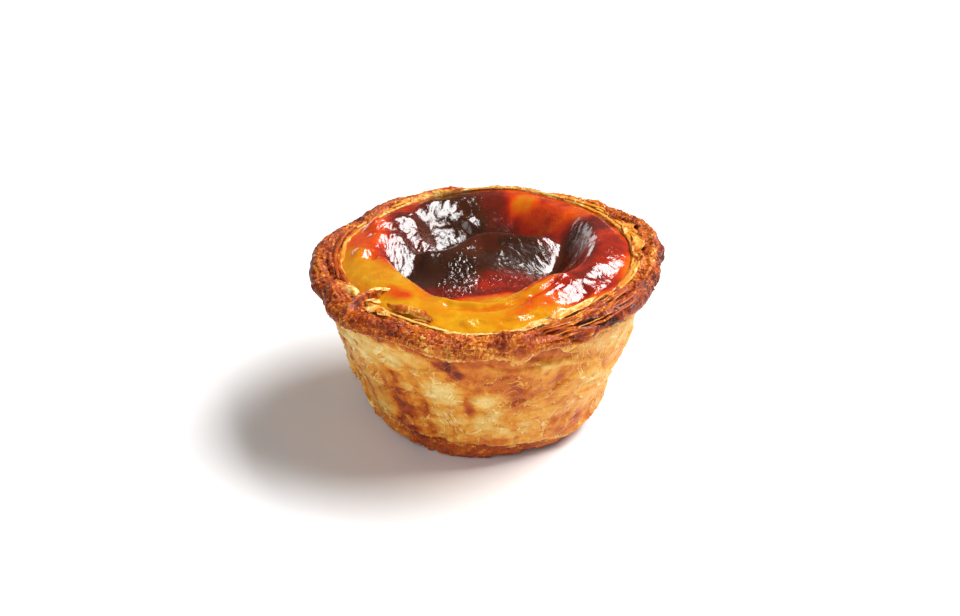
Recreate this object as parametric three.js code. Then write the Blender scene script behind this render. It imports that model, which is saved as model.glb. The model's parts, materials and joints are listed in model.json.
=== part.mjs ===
// A custard tart in a puff pastry cup: one flaky pastry shell and the custard baked into it.
// Millimetres, +Z up. Angles run counterclockwise from +X as seen from above, and the front is towards -Y.
import * as THREE from "three";

// The pastry cup, as a section turned round the upright axis.
const footRadius = 19.8;
const footOvalness = 0.8;
const cornerRadius = 4.6;
const cornerEndDegrees = -26;
const wallTopRadius = 33.1;
const wallTopHeight = 31.2;
const wallBulge = 1.1;
const wallReachShare = 0.4;
const hollowFloorHeight = 3.6;
const hollowFloorRadius = 19.5;
const hollowBulge = 1.5;

// The rolled rim that stands proud of the wall all round.
const rimOuterRadius = 35.5;
const rimOuterHeight = 32.7;
const rimCrestHeight = 34.9;
const rimCrestInset = 2.4;
const rimCrestInsetToFront = 0.3;
const rimUnderDepth = 1.7;
const rimUnderWander = 0.7;
const rimUnderPatches = 31;
const rimStartDegrees = -58;
const rimInnerDegrees = 60;
const rimInnerDrop = 0.75;
const rimInnerDropToFront = 0.35;
const custardEdgeRadius = 29.9;
const custardEdgeWaves = [
  { turns: 1, reach: 2.3, phase: 1.35 },
  { turns: 2, reach: 1.1, phase: -2.52 },
  { turns: 3, reach: 0.5, phase: -1.96 },
  { turns: 4, reach: 0.4, phase: -0.8 },
];

// How the rim rises and falls, and how far it strays from a circle.
const rimLiftWaves = [
  { turns: 1, rise: 1.55, phase: 0.02 },
  { turns: 2, rise: 0.8, phase: 0 },
  { turns: 3, rise: 0.3, phase: -0.52 },
  { turns: 5, rise: 0.18, phase: 1.3 },
  { turns: 9, rise: 0.14, phase: 0.2 },
];
const rimReachWaves = [
  { turns: 1, reach: 0.5, phase: 0.95 },
  { turns: 2, reach: 0.2, phase: 0 },
  { turns: 4, reach: 0.2, phase: 0.9 },
  { turns: 7, reach: 0.22, phase: 1.9 },
];

// Thin sheets of dough that lie over the wall in broken patches, each with its own thickness.
const wallSheets = [
  { patches: 7, patchHeight: 9, level: -0.12, thickness: 0.6, seed: 3 },
  { patches: 12, patchHeight: 5.5, level: 0.05, thickness: 0.5, seed: 8 },
  { patches: 19, patchHeight: 4, level: 0.12, thickness: 0.35, seed: 21 },
];
const sheetEdgeWidth = 0.16;

// The outermost sheet ends above the foot in a ragged edge.
const skirtEdgeHeight = 4.2;
const skirtEdgeWander = 1.7;
const skirtEdgePatches = 9;
const skirtThickness = 0.55;
const skirtEdgeBlend = 0.8;

// Crags and layered ridges of the baked rim. The ridges wander to and fro as they run round.
const rimCrags = [
  { patches: 46, width: 2.9, height: 0.45, seed: 13 },
  { patches: 23, width: 5.8, height: 0.45, seed: 14 },
];
const rimRidgeHeight = 0.3;
const rimRidgePitch = 2.5;
const rimRidgeWander = { patches: 11, width: 5, reach: 1.4, seed: 15 };

// Broad dents in the wall, bulges where the depth is negative, and then the narrow creases that
// the tin left. Each runs from one angle in degrees and height to another.
const wallCreases = [
  { from: [184, 28], to: [199, 15], depth: 1.1, width: 6 },
  { from: [199, 6], to: [216, 3], depth: -0.9, width: 4 },
  { from: [224, 3], to: [240, 3], depth: -0.6, width: 3.5 },
  { from: [320, 4], to: [342, 5], depth: -0.9, width: 3.5 },
  { from: [226, 23], to: [231, 5], depth: 0.55, width: 1.5 },
  { from: [243, 21], to: [248, 4], depth: 0.6, width: 1.3 },
  { from: [262, 20], to: [265, 12], depth: 0.35, width: 1.2 },
  { from: [300, 28], to: [296, 14], depth: 0.4, width: 1.2 },
  { from: [312, 12], to: [300, 5], depth: 0.45, width: 1.4 },
  { from: [190, 26], to: [206, 8], depth: 0.5, width: 1.5 },
  { from: [345, 25], to: [330, 8], depth: 0.5, width: 1.5 },
  { from: [20, 26], to: [28, 7], depth: 0.5, width: 1.5 },
  { from: [75, 24], to: [62, 9], depth: 0.5, width: 1.4 },
  { from: [118, 27], to: [126, 6], depth: 0.55, width: 1.5 },
  { from: [158, 22], to: [150, 5], depth: 0.5, width: 1.4 },
];

// The custard: its level at the pastry, the puffed ring inside that, and the sunken middle.
const custardGap = 0.3;
const custardCentre = [0.7, 1.2];
const ringRise = 1.1;
const ringRiseToRight = 0.1;
const ringRiseToFront = 0.6;
const ringWidth = 8;
const craterCentre = [0, 4.4];
const craterRadius = 23.7;
const craterWaves = [
  { turns: 1, reach: 1.45, phase: 0.75 },
  { turns: 2, reach: 1.7, phase: -2.8 },
  { turns: 3, reach: 0.27, phase: 1.5 },
  { turns: 4, reach: 0.55, phase: -0.45 },
];
const craterDepth = 6.6;
const craterSlopeWidth = 8.2;
const craterSlopeWaves = [
  { turns: 1, reach: 2.9, phase: 0.6 },
  { turns: 2, reach: 1.4, phase: -2.4 },
];

// Folds, ridges and dents of the custard's skin, each along a smooth path seen from above.
const skinFolds = {
  moundAcrossTheMiddle: {
    rise: 4.2,
    width: 3.7,
    path: [[-13.5, 8.4], [-8, 11], [-3.3, 14.4], [0, 15.4], [4, 14], [11, 11.6]],
  },
  pitBehindTheMound: { rise: -1.3, width: 3, path: [[-12, 16], [-5, 20.4], [2, 21.5], [10, 18.5]] },
  valleyOnTheRight: { rise: -1.5, width: 3.6, path: [[14, 5], [17, 10], [17.5, 16]] },
  ridgeOnTheRight: {
    rise: 0.7,
    width: 4.2,
    path: [[13, -18.5], [19.5, -12], [24, -2], [25, 8], [22, 16]],
  },
  frontFold: {
    rise: 1.3,
    width: 2.1,
    path: [[-9, -15.8], [-3, -17.6], [4, -16.8], [10, -13.6], [14, -9.5]],
  },
  creaseBelowTheFrontFold: {
    rise: -0.8,
    width: 1.3,
    path: [[-7, -19.6], [0, -21], [8, -19.2], [14.5, -14.5]],
  },
  bulgeAtTheLeft: { rise: 0.5, width: 3.2, path: [[-25, 6], [-23.5, -3], [-18.5, -12]] },
  hollowInTheLeftSlope: { rise: -0.7, width: 2.6, path: [[-17, 17], [-12, 21.5], [-5, 24]] },
};
const skinWobble = 0.3;
const skinWobbleSize = 5.5;

// Scraps, curls and torn layers of browned pastry that lie on the rim and on the custard's edge.
const pastryScraps = {
  flapAtTheFrontLeft: { rise: 1.5, width: 1.5, path: [[-26, -20.4], [-24, -17], [-21.4, -13.4]] },
  scrapOnTheCustard: { rise: 1, width: 1.3, path: [[-18.6, -18.7], [-14.3, -22], [-10, -24.4]] },
  curlAtTheLeft: { rise: 0.8, width: 1.1, path: [[-28.4, -9], [-26.2, -11.6], [-24.6, -12.8]] },
  outerTornLayer: { rise: 0.9, width: 1, path: [[15, -30], [20.7, -27.6], [26, -24.2]] },
  innerTornLayer: { rise: 0.7, width: 1, path: [[13.5, -26.4], [18.5, -24.6], [23, -21.6]] },
  uprightFlakeAtTheRight: { rise: 1.5, width: 1.2, path: [[27.6, 15.4], [30.6, 10.4], [30, 5.4]] },
  knobAtTheFront: { rise: 1, width: 2.2, path: [[4.4, -32.6], [7.4, -33]] },
  frontLayer: { rise: 0.5, width: 0.9, path: [[-5, -29.2], [0, -29.6], [5, -29.6]] },
};

// How finely the solids are divided.
const pastrySlices = 136;
const baseRings = 3;
const cornerRings = 3;
const wallRings = 15;
const rimOuterRings = 7;
const rimInnerRings = 4;
const hollowRings = 3;
const custardSlices = 84;
const custardTopRings = 19;

const tau = 2 * Math.PI;
const radians = THREE.MathUtils.degToRad;
const mix = THREE.MathUtils.lerp;
const smooth = THREE.MathUtils.smoothstep;

// A repeatable number from -1 to 1 for one corner of a noise grid.
function cornerValue(column, row, seed) {
  let bits = Math.imul(column, 374761393) ^ Math.imul(row, 668265263) ^ Math.imul(seed, 1442695041);
  bits = Math.imul(bits ^ (bits >>> 13), 1274126177);
  bits ^= bits >>> 16;
  return ((bits >>> 0) / 4294967295) * 2 - 1;
}

// Smooth noise over a grid. Where around is given, the pattern repeats after that many columns.
function noise(column, row, seed, around = 0) {
  const left = Math.floor(column);
  const low = Math.floor(row);
  const across = column - left;
  const up = row - low;
  const easeAcross = across * across * (3 - 2 * across);
  const easeUp = up * up * (3 - 2 * up);
  const wrapped = (value) => (around ? ((value % around) + around) % around : value);
  const corner = (right, above) => cornerValue(wrapped(left + right), low + above, seed);
  return mix(
    mix(corner(0, 0), corner(1, 0), easeAcross),
    mix(corner(0, 1), corner(1, 1), easeAcross),
    easeUp,
  );
}

// Noise round the cup: patches of it lie side by side along one turn.
function noiseRound(angle, along, patches, patchHeight, seed) {
  return noise((angle / tau) * patches, along / patchHeight, seed, patches);
}

function sumOfWaves(waves, angle, size) {
  return waves.reduce((sum, wave) => sum + wave[size] * Math.cos(wave.turns * angle - wave.phase), 0);
}

const rimLift = (angle) => sumOfWaves(rimLiftWaves, angle, "rise");
const rimReach = (angle) => sumOfWaves(rimReachWaves, angle, "reach");

// Radius at which the custard meets the pastry.
function custardEdge(angle) {
  return custardEdgeRadius + sumOfWaves(custardEdgeWaves, angle, "reach");
}

// Height of the custard's edge, and of the level that spans it at a share of the way out.
function custardEdgeHeight(angle, share) {
  const level = rimLiftWaves.reduce(
    (sum, wave) => sum + wave.rise * share ** wave.turns * Math.cos(wave.turns * angle - wave.phase),
    rimCrestHeight,
  );
  return level - rimInnerDrop + rimInnerDropToFront * share * Math.sin(angle);
}

// A bump or a dent across a crease or fold, 1 on its line and 0 past its width.
function bump(distance, width) {
  return Math.exp(-((distance / width) ** 2));
}

// Pushes the wall in along its creases. Angles are unrolled at the wall's own radius.
function creaseRelief(angle, height, radius) {
  let relief = 0;
  for (const crease of wallCreases) {
    const [startDegrees, startHeight] = crease.from;
    const [endDegrees, endHeight] = crease.to;
    const share = THREE.MathUtils.clamp((height - startHeight) / (endHeight - startHeight), 0, 1);
    const creaseAngle = radians(mix(startDegrees, endDegrees, share));
    const turn = Math.atan2(Math.sin(angle - creaseAngle), Math.cos(angle - creaseAngle));
    const pastEnd = height - mix(startHeight, endHeight, share);
    const fade = Math.sin(Math.PI * mix(0.1, 0.9, share));
    relief -= crease.depth * fade * bump(Math.hypot(turn * radius, pastEnd), crease.width);
  }
  return relief;
}

// How far the broken sheets of dough stand proud of the wall.
function sheetRelief(angle, along) {
  let relief = 0;
  for (const sheet of wallSheets) {
    const value = noiseRound(angle, along, sheet.patches, sheet.patchHeight, sheet.seed);
    relief += sheet.thickness * (smooth(value - sheet.level, -sheetEdgeWidth, sheetEdgeWidth) - 0.5);
  }
  return relief;
}

// Below its ragged edge the outermost sheet is missing, so the foot is set back.
function skirtRelief(angle, height) {
  const edge = skirtEdgeHeight + skirtEdgeWander * noiseRound(angle, 0, skirtEdgePatches, 1, 5);
  return -skirtThickness * (1 - smooth(height, edge - skirtEdgeBlend, edge + skirtEdgeBlend));
}

function rimRelief(angle, along) {
  const crags = rimCrags.reduce(
    (sum, crag) => sum + crag.height * noiseRound(angle, along, crag.patches, crag.width, crag.seed),
    0,
  );
  const { patches, width, reach, seed } = rimRidgeWander;
  const wander = reach * noiseRound(angle, along, patches, width, seed);
  return crags + rimRidgeHeight * Math.sin((tau * (along + wander)) / rimRidgePitch);
}

// Shortest distance from a point to a smooth path, from a few dozen points along it.
function distanceToPath(x, y, samples) {
  return samples.reduce((least, sample) => Math.min(least, Math.hypot(x - sample.x, y - sample.y)), 1e9);
}

function alongPath(path) {
  const points = path.map(([x, y]) => new THREE.Vector3(x, y, 0));
  return new THREE.CatmullRomCurve3(points, false, "centripetal").getPoints(32);
}

const withSamples = (line) => ({ ...line, samples: alongPath(line.path) });
const foldLines = Object.values(skinFolds).map(withSamples);
const scrapLines = Object.values(pastryScraps).map(withSamples);

// How high the torn scraps of pastry stand over one point of the plan.
function scrapRise(x, y) {
  return scrapLines.reduce(
    (most, scrap) => Math.max(most, scrap.rise * bump(distanceToPath(x, y, scrap.samples), scrap.width)),
    0,
  );
}

// The flat foot, out to where its corner begins.
function footSection(angle) {
  const foot = footRadius + footOvalness * Math.cos(2 * angle);
  return Array.from({ length: baseRings }, (_, ring) => ({
    radius: (foot * (ring + 1)) / baseRings,
    height: 0,
  }));
}

// The rounded corner round the foot, and the flaring wall above it.
function wallSection(angle) {
  const foot = footRadius + footOvalness * Math.cos(2 * angle);
  const section = [];
  for (let ring = 1; ring <= cornerRings; ring++) {
    const turn = radians(mix(-90, cornerEndDegrees, ring / cornerRings));
    section.push({
      radius: foot + cornerRadius * Math.cos(turn),
      height: cornerRadius * (1 + Math.sin(turn)),
      cover: "wall",
    });
  }
  const cornerEnd = section.at(-1);
  for (let ring = 1; ring <= wallRings; ring++) {
    const share = ring / wallRings;
    const bulge = wallBulge * 4 * share * (1 - share);
    section.push({
      radius: mix(cornerEnd.radius, wallTopRadius + wallReachShare * rimReach(angle), share) + bulge,
      height: mix(cornerEnd.height, wallTopHeight + rimLift(angle), share),
      cover: "wall",
    });
  }
  return section;
}

// The rim from under its lip up to the crest, then down to the custard's edge, where relief dies away.
function rimSection(angle) {
  const lift = rimLift(angle);
  const crestInset = rimCrestInset - rimCrestInsetToFront * Math.sin(angle);
  const crestRadius = rimOuterRadius + rimReach(angle) - crestInset;
  const underDepth = rimUnderDepth + rimUnderWander * noiseRound(angle, 0, rimUnderPatches, 1, 17);
  const section = [];
  for (let ring = 0; ring <= rimOuterRings; ring++) {
    const turn = radians(mix(rimStartDegrees, 90, ring / rimOuterRings));
    const upward = turn > 0 ? rimCrestHeight - rimOuterHeight : underDepth;
    section.push({
      radius: crestRadius + crestInset * Math.cos(turn),
      height: rimOuterHeight + lift + upward * Math.sin(turn),
      cover: "rim",
      hold: 1,
    });
  }
  const lastTurn = radians(rimInnerDegrees);
  for (let ring = 1; ring <= rimInnerRings; ring++) {
    const turn = (lastTurn * ring) / rimInnerRings;
    const inward = Math.sin(turn) / Math.sin(lastTurn);
    const downward = (1 - Math.cos(turn)) / (1 - Math.cos(lastTurn));
    section.push({
      radius: mix(crestRadius, custardEdge(angle), inward),
      height: mix(rimCrestHeight + lift, custardEdgeHeight(angle, 1), downward),
      cover: "rim",
      hold: 1 - inward ** 2,
    });
  }
  return section;
}

// The hollow from the rim's inner edge down to its floor, or the same line drawn in by a gap.
function hollowSection(angle, gap) {
  const section = [];
  for (let ring = 0; ring <= hollowRings; ring++) {
    const share = ring / hollowRings;
    const bulge = hollowBulge * 4 * share * (1 - share);
    section.push({
      radius: mix(custardEdge(angle), hollowFloorRadius, share) + bulge - gap,
      height: mix(custardEdgeHeight(angle, 1), hollowFloorHeight, share) + gap * share,
    });
  }
  section.push({ radius: hollowFloorRadius / 2, height: hollowFloorHeight + gap });
  return section;
}

// The whole cup's section at one angle, from the middle of the foot to the middle of the hollow's floor.
function cupSection(angle) {
  return [
    ...footSection(angle),
    ...wallSection(angle),
    ...rimSection(angle),
    ...hollowSection(angle, 0).slice(1),
  ];
}

// Moves each covered point of a section along its own outward direction by the relief there.
function withRelief(section, angle) {
  let along = 0;
  return section.map((point, index) => {
    const before = section[Math.max(index - 1, 0)];
    const after = section[Math.min(index + 1, section.length - 1)];
    along += Math.hypot(point.radius - before.radius, point.height - before.height);
    if (!point.cover) return point;
    const run = Math.hypot(after.radius - before.radius, after.height - before.height);
    const outward = (after.height - before.height) / run;
    const upward = (before.radius - after.radius) / run;
    const scraps = scrapRise(point.radius * Math.cos(angle), point.radius * Math.sin(angle));
    const relief =
      point.cover === "rim"
        ? (rimRelief(angle, along) + scraps) * point.hold
        : sheetRelief(angle, along) +
          skirtRelief(angle, point.height) +
          creaseRelief(angle, point.height, point.radius);
    return {
      radius: point.radius + outward * relief,
      height: Math.max(point.height + upward * relief, 0),
    };
  });
}

// Height of the custard's skin over one point of the plan.
function custardHeight(x, y) {
  const angle = Math.atan2(y, x);
  const radius = Math.hypot(x, y);
  const share = radius / custardEdge(angle);
  const rise = ringRise + (ringRiseToRight * x - ringRiseToFront * y) / custardEdgeRadius;
  const inward = THREE.MathUtils.clamp((custardEdge(angle) - radius) / ringWidth, 0, 1);
  const ring = rise * (1 - (1 - inward) ** 2);

  const craterX = x - craterCentre[0];
  const craterY = y - craterCentre[1];
  const craterAngle = Math.atan2(craterY, craterX);
  const lip = craterRadius + sumOfWaves(craterWaves, craterAngle, "reach");
  const slopeWidth = craterSlopeWidth + sumOfWaves(craterSlopeWaves, craterAngle, "reach");
  const crater = smooth(lip - Math.hypot(craterX, craterY), 0, slopeWidth) * craterDepth;

  const folds = foldLines.reduce(
    (sum, fold) => sum + fold.rise * bump(distanceToPath(x, y, fold.samples), fold.width),
    0,
  );
  const wobble = skinWobble * noise(x / skinWobbleSize, y / skinWobbleSize, 31) * smooth(inward, 0, 0.5);
  const clearOfEdge = smooth(inward, 0, 0.3);
  return custardEdgeHeight(angle, share) + ring - crater + (folds + scrapRise(x, y)) * clearOfEdge + wobble;
}

// A closed surface through rings of points that share one count, shut by a point at each end.
function closedShell(rings, startPoint, endPoint) {
  const count = rings[0].length;
  const positions = [startPoint, ...rings.flat(), endPoint].flatMap((point) => point.toArray());
  const last = positions.length / 3 - 1;
  const at = (ring, slice) => 1 + ring * count + (slice % count);
  const faces = [];
  for (let slice = 0; slice < count; slice++) {
    faces.push(0, at(0, slice + 1), at(0, slice));
    for (let ring = 0; ring + 1 < rings.length; ring++) {
      faces.push(at(ring, slice), at(ring, slice + 1), at(ring + 1, slice + 1));
      faces.push(at(ring, slice), at(ring + 1, slice + 1), at(ring + 1, slice));
    }
    faces.push(last, at(rings.length - 1, slice), at(rings.length - 1, slice + 1));
  }
  const geometry = new THREE.BufferGeometry();
  geometry.setAttribute("position", new THREE.Float32BufferAttribute(positions, 3));
  geometry.setIndex(faces);
  geometry.computeVertexNormals();
  return geometry;
}

function onTurn(radius, angle, height) {
  return new THREE.Vector3(radius * Math.cos(angle), radius * Math.sin(angle), height);
}

function turnAngles(count) {
  return Array.from({ length: count }, (_, slice) => (slice / count) * tau);
}

function pastryGeometry() {
  const angles = turnAngles(pastrySlices);
  const sections = angles.map((angle) => withRelief(cupSection(angle), angle));
  const rings = sections[0].map((_, ring) =>
    angles.map((angle, slice) => onTurn(sections[slice][ring].radius, angle, sections[slice][ring].height)),
  );
  return closedShell(rings, new THREE.Vector3(0, 0, 0), new THREE.Vector3(0, 0, hollowFloorHeight));
}

// The custard's side keeps a small gap to the hollow, whose section it follows.
function custardGeometry() {
  const angles = turnAngles(custardSlices);
  const sides = angles.map((angle) => hollowSection(angle, custardGap).reverse());
  const rings = sides[0].slice(0, -1).map((_, ring) =>
    angles.map((angle, slice) => onTurn(sides[slice][ring].radius, angle, sides[slice][ring].height)),
  );
  for (let ring = 0; ring < custardTopRings; ring++) {
    const share = 1 - ring / custardTopRings;
    rings.push(
      angles.map((angle) => {
        const edge = custardEdge(angle) - custardGap;
        const x = mix(custardCentre[0], edge * Math.cos(angle), share);
        const y = mix(custardCentre[1], edge * Math.sin(angle), share);
        return new THREE.Vector3(x, y, custardHeight(x, y));
      }),
    );
  }
  const [x, y] = custardCentre;
  return closedShell(
    rings,
    new THREE.Vector3(0, 0, hollowFloorHeight + custardGap),
    new THREE.Vector3(x, y, custardHeight(x, y)),
  );
}

const pastry = new THREE.Mesh(
  pastryGeometry(),
  new THREE.MeshStandardMaterial({ color: 0xd08a45, roughness: 0.75, metalness: 0 }),
);
pastry.name = "pastry_shell";

const custard = new THREE.Mesh(
  custardGeometry(),
  new THREE.MeshStandardMaterial({ color: 0x9c3f1c, roughness: 0.25, metalness: 0 }),
);
custard.name = "custard";

const tart = new THREE.Group();
tart.add(pastry, custard);

// The origin is the centre of the foot's level, under the middle of the whole tart.
const extent = new THREE.Box3().setFromObject(tart);
const middle = extent.getCenter(new THREE.Vector3());
tart.position.set(-middle.x, -middle.y, -extent.min.z);

export default tart;
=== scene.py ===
import json
import math

import bpy
import numpy as np
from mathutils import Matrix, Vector

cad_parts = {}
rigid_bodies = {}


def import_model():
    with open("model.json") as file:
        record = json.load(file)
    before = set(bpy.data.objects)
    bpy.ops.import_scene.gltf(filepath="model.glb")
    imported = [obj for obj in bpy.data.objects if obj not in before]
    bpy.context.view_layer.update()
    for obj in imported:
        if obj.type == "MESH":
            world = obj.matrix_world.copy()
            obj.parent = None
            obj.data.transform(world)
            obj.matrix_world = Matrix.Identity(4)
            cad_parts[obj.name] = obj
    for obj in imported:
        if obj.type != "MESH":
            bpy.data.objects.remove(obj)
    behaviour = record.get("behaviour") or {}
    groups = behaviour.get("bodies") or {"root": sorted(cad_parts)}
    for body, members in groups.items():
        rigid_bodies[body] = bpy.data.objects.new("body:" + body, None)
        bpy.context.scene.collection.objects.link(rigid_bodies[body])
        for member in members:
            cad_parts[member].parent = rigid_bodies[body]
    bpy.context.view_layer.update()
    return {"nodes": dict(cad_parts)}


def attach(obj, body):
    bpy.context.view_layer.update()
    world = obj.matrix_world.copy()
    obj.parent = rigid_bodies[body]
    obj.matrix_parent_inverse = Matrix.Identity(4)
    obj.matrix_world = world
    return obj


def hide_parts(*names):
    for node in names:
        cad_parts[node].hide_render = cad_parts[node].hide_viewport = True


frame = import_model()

mm = 0.001
tau = 2 * math.pi


# Noise and small shaping helpers. Lengths are in millimetres until a mesh is made.

def mixed(low, high, share):
    return low + (high - low) * share


def smooth(value, low, high):
    t = np.clip((value - low) / (high - low), 0, 1)
    return t * t * (3 - 2 * t)


def bump(distance, width):
    return np.exp(-((distance / width) ** 2))


def cornerValue(column, row, seed):
    # a repeatable number from -1 to 1 for each corner of a noise grid
    bits = column.astype(np.uint32) * np.uint32(374761393)
    bits ^= row.astype(np.uint32) * np.uint32(668265263)
    bits ^= np.uint32((seed * 1442695041) & 0xFFFFFFFF)
    bits = (bits ^ (bits >> np.uint32(13))) * np.uint32(1274126177)
    bits ^= bits >> np.uint32(16)
    return bits / 4294967295 * 2 - 1


def noise(column, row, seed, around=0):
    column, row = np.broadcast_arrays(column, row)
    left, low = np.floor(column), np.floor(row)
    across, up = column - left, row - low
    across, up = across * across * (3 - 2 * across), up * up * (3 - 2 * up)
    left, low = left.astype(np.int64), low.astype(np.int64)
    right = left + 1
    if around:
        left, right = left % around, right % around
    bottom = mixed(cornerValue(left, low, seed), cornerValue(right, low, seed), across)
    top = mixed(cornerValue(left, low + 1, seed), cornerValue(right, low + 1, seed), across)
    return mixed(bottom, top, up)


def noiseRound(angle, along, patches, height, seed):
    # the pattern closes on itself after one turn of the cup
    return noise(angle / tau * patches, along / height, seed, patches)


def layeredRound(angle, along, patches, height, seed, octaves=3, gain=0.55):
    total = sum(
        gain ** level * noiseRound(angle, along, patches * 2 ** level, height / 2 ** level, seed + 5 * level)
        for level in range(octaves)
    )
    return total / sum(gain ** level for level in range(octaves))


def layeredFlat(x, y, size, seed, octaves=3, gain=0.55):
    # each finer layer is turned, so that no grid shows
    total = 0
    for level in range(octaves):
        turn = 0.6 + 1.1 * level
        across = (x * math.cos(turn) + y * math.sin(turn)) * 2 ** level / size
        up = (-x * math.sin(turn) + y * math.cos(turn)) * 2 ** level / size
        total = total + gain ** level * noise(across, up, seed + 5 * level)
    return total / sum(gain ** level for level in range(octaves))


def wrapped(turn):
    # the same turn, from minus half a turn to half a turn
    return np.arctan2(np.sin(turn), np.cos(turn))


def sumOfWaves(waves, angle):
    # each wave is (turns, size, phase)
    return sum(size * np.cos(turns * angle - phase) for turns, size, phase in waves)


def smoothPath(points, steps=14):
    # a centripetal curve through the points
    points = np.array(points, float)
    reached = np.vstack([2 * points[0] - points[1], points, 2 * points[-1] - points[-2]])
    run = []
    for first, start, end, last in zip(reached, reached[1:], reached[2:], reached[3:]):
        before, step, after = (
            math.sqrt(np.linalg.norm(b - a)) for a, b in ((first, start), (start, end), (end, last))
        )
        leaving = ((start - first) / before - (end - first) / (before + step) + (end - start) / step) * step
        arriving = ((end - start) / step - (last - start) / (step + after) + (last - end) / after) * step
        t = np.linspace(0, 1, steps, endpoint=False)[:, None]
        run.append(
            (2 * t ** 3 - 3 * t ** 2 + 1) * start + (t ** 3 - 2 * t ** 2 + t) * leaving
            + (3 * t ** 2 - 2 * t ** 3) * end + (t ** 3 - t ** 2) * arriving
        )
    return np.vstack([*run, points[-1:]])


def nearestOnPath(x, y, path):
    # distance to a path, how far along it from 0 to 1, and the side from -1 to 1
    lengths = np.linalg.norm(np.diff(path, axis=0), axis=1)
    reached = np.concatenate([[0], np.cumsum(lengths)]) / lengths.sum()
    least = np.full(np.shape(x), 1e9)
    share, side = np.zeros(np.shape(x)), np.zeros(np.shape(x))
    for index, (start, end) in enumerate(zip(path, path[1:])):
        run = end - start
        t = np.clip(((x - start[0]) * run[0] + (y - start[1]) * run[1]) / (run @ run), 0, 1)
        awayX, awayY = x - start[0] - t * run[0], y - start[1] - t * run[1]
        distance = np.hypot(awayX, awayY)
        nearer = distance < least
        least = np.where(nearer, distance, least)
        share = np.where(nearer, mixed(reached[index], reached[index + 1], t), share)
        side = np.where(nearer, np.sign(run[0] * awayY - run[1] * awayX), side)
    return least, share, side


# The cup's section, with the same sizes as the solid's.
cup = {
    "footRadius": 19.8,
    "footOvalness": 0.8,
    "cornerRadius": 4.6,
    "cornerEndDegrees": -26,
    "wallTopRadius": 33.1,
    "wallTopHeight": 31.2,
    "wallBulge": 1.1,
    "wallReachShare": 0.4,
    "hollowFloorHeight": 3.6,
    "hollowFloorRadius": 19.5,
    "hollowBulge": 1.5,
    "rimOuterRadius": 35.5,
    "rimOuterHeight": 32.7,
    "rimCrestHeight": 34.9,
    "rimCrestInset": 2.4,
    "rimCrestInsetToFront": 0.3,
    "rimUnderDepth": 1.7,
    "rimUnderWander": 0.7,
    "rimUnderPatches": 31,
    "rimStartDegrees": -58,
    "rimInnerDegrees": 60,
    "rimInnerDrop": 0.75,
    "rimInnerDropToFront": 0.35,
    "custardEdgeRadius": 29.9,
    "custardEdgeWaves": [(1, 2.3, 1.35), (2, 1.1, -2.52), (3, 0.5, -1.96), (4, 0.4, -0.8)],
    "rimLiftWaves": [(1, 1.55, 0.02), (2, 0.8, 0), (3, 0.3, -0.52), (5, 0.18, 1.3), (9, 0.14, 0.2)],
    "rimReachWaves": [(1, 0.5, 0.95), (2, 0.2, 0), (4, 0.2, 0.9), (7, 0.22, 1.9)],
    "wallRings": (16, 20, 96),  # over the foot, round the corner and up the wall
    "rimRings": (36, 26),  # up to the crest and down to the custard
}


def rimLift(angle):
    return sumOfWaves(cup["rimLiftWaves"], angle)


def rimReach(angle):
    return sumOfWaves(cup["rimReachWaves"], angle)


def wallTop(angle):
    # radius and height where the wall meets the rim
    reach = cup["wallTopRadius"] + cup["wallReachShare"] * rimReach(angle)
    return reach, cup["wallTopHeight"] + rimLift(angle)


def rimCrest(angle):
    # the crest's radius, and how far it lies inside the rim's outer edge
    inset = cup["rimCrestInset"] - cup["rimCrestInsetToFront"] * np.sin(angle)
    return cup["rimOuterRadius"] + rimReach(angle) - inset, inset


def custardEdge(angle):
    return cup["custardEdgeRadius"] + sumOfWaves(cup["custardEdgeWaves"], angle)


def custardEdgeHeight(angle, share):
    level = cup["rimCrestHeight"] + sum(
        rise * share ** turns * np.cos(turns * angle - phase) for turns, rise, phase in cup["rimLiftWaves"]
    )
    return level - cup["rimInnerDrop"] + cup["rimInnerDropToFront"] * share * np.sin(angle)


def steps(start, end, count):
    # count values after start, up to and with end, as a column
    return np.linspace(start, end, count + 1)[1:, None]


def wallSection(angle):
    # radius and height of each ring, from the middle of the foot up to the wall's top
    footRings, cornerRings, upperRings = cup["wallRings"]
    foot = cup["footRadius"] + cup["footOvalness"] * np.cos(2 * angle)
    underside = steps(0, 1, footRings)
    radius, height = [foot * underside], [0 * foot * underside]
    turn = np.radians(steps(-90, cup["cornerEndDegrees"], cornerRings))
    radius.append(foot + cup["cornerRadius"] * np.cos(turn))
    height.append(cup["cornerRadius"] * (1 + np.sin(turn)) + 0 * foot)
    share = steps(0, 1, upperRings)
    topRadius, topHeight = wallTop(angle)
    bulge = cup["wallBulge"] * 4 * share * (1 - share)
    radius.append(mixed(radius[-1][-1], topRadius, share) + bulge)
    height.append(mixed(height[-1][-1], topHeight, share))
    return np.vstack(radius), np.vstack(height)


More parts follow.
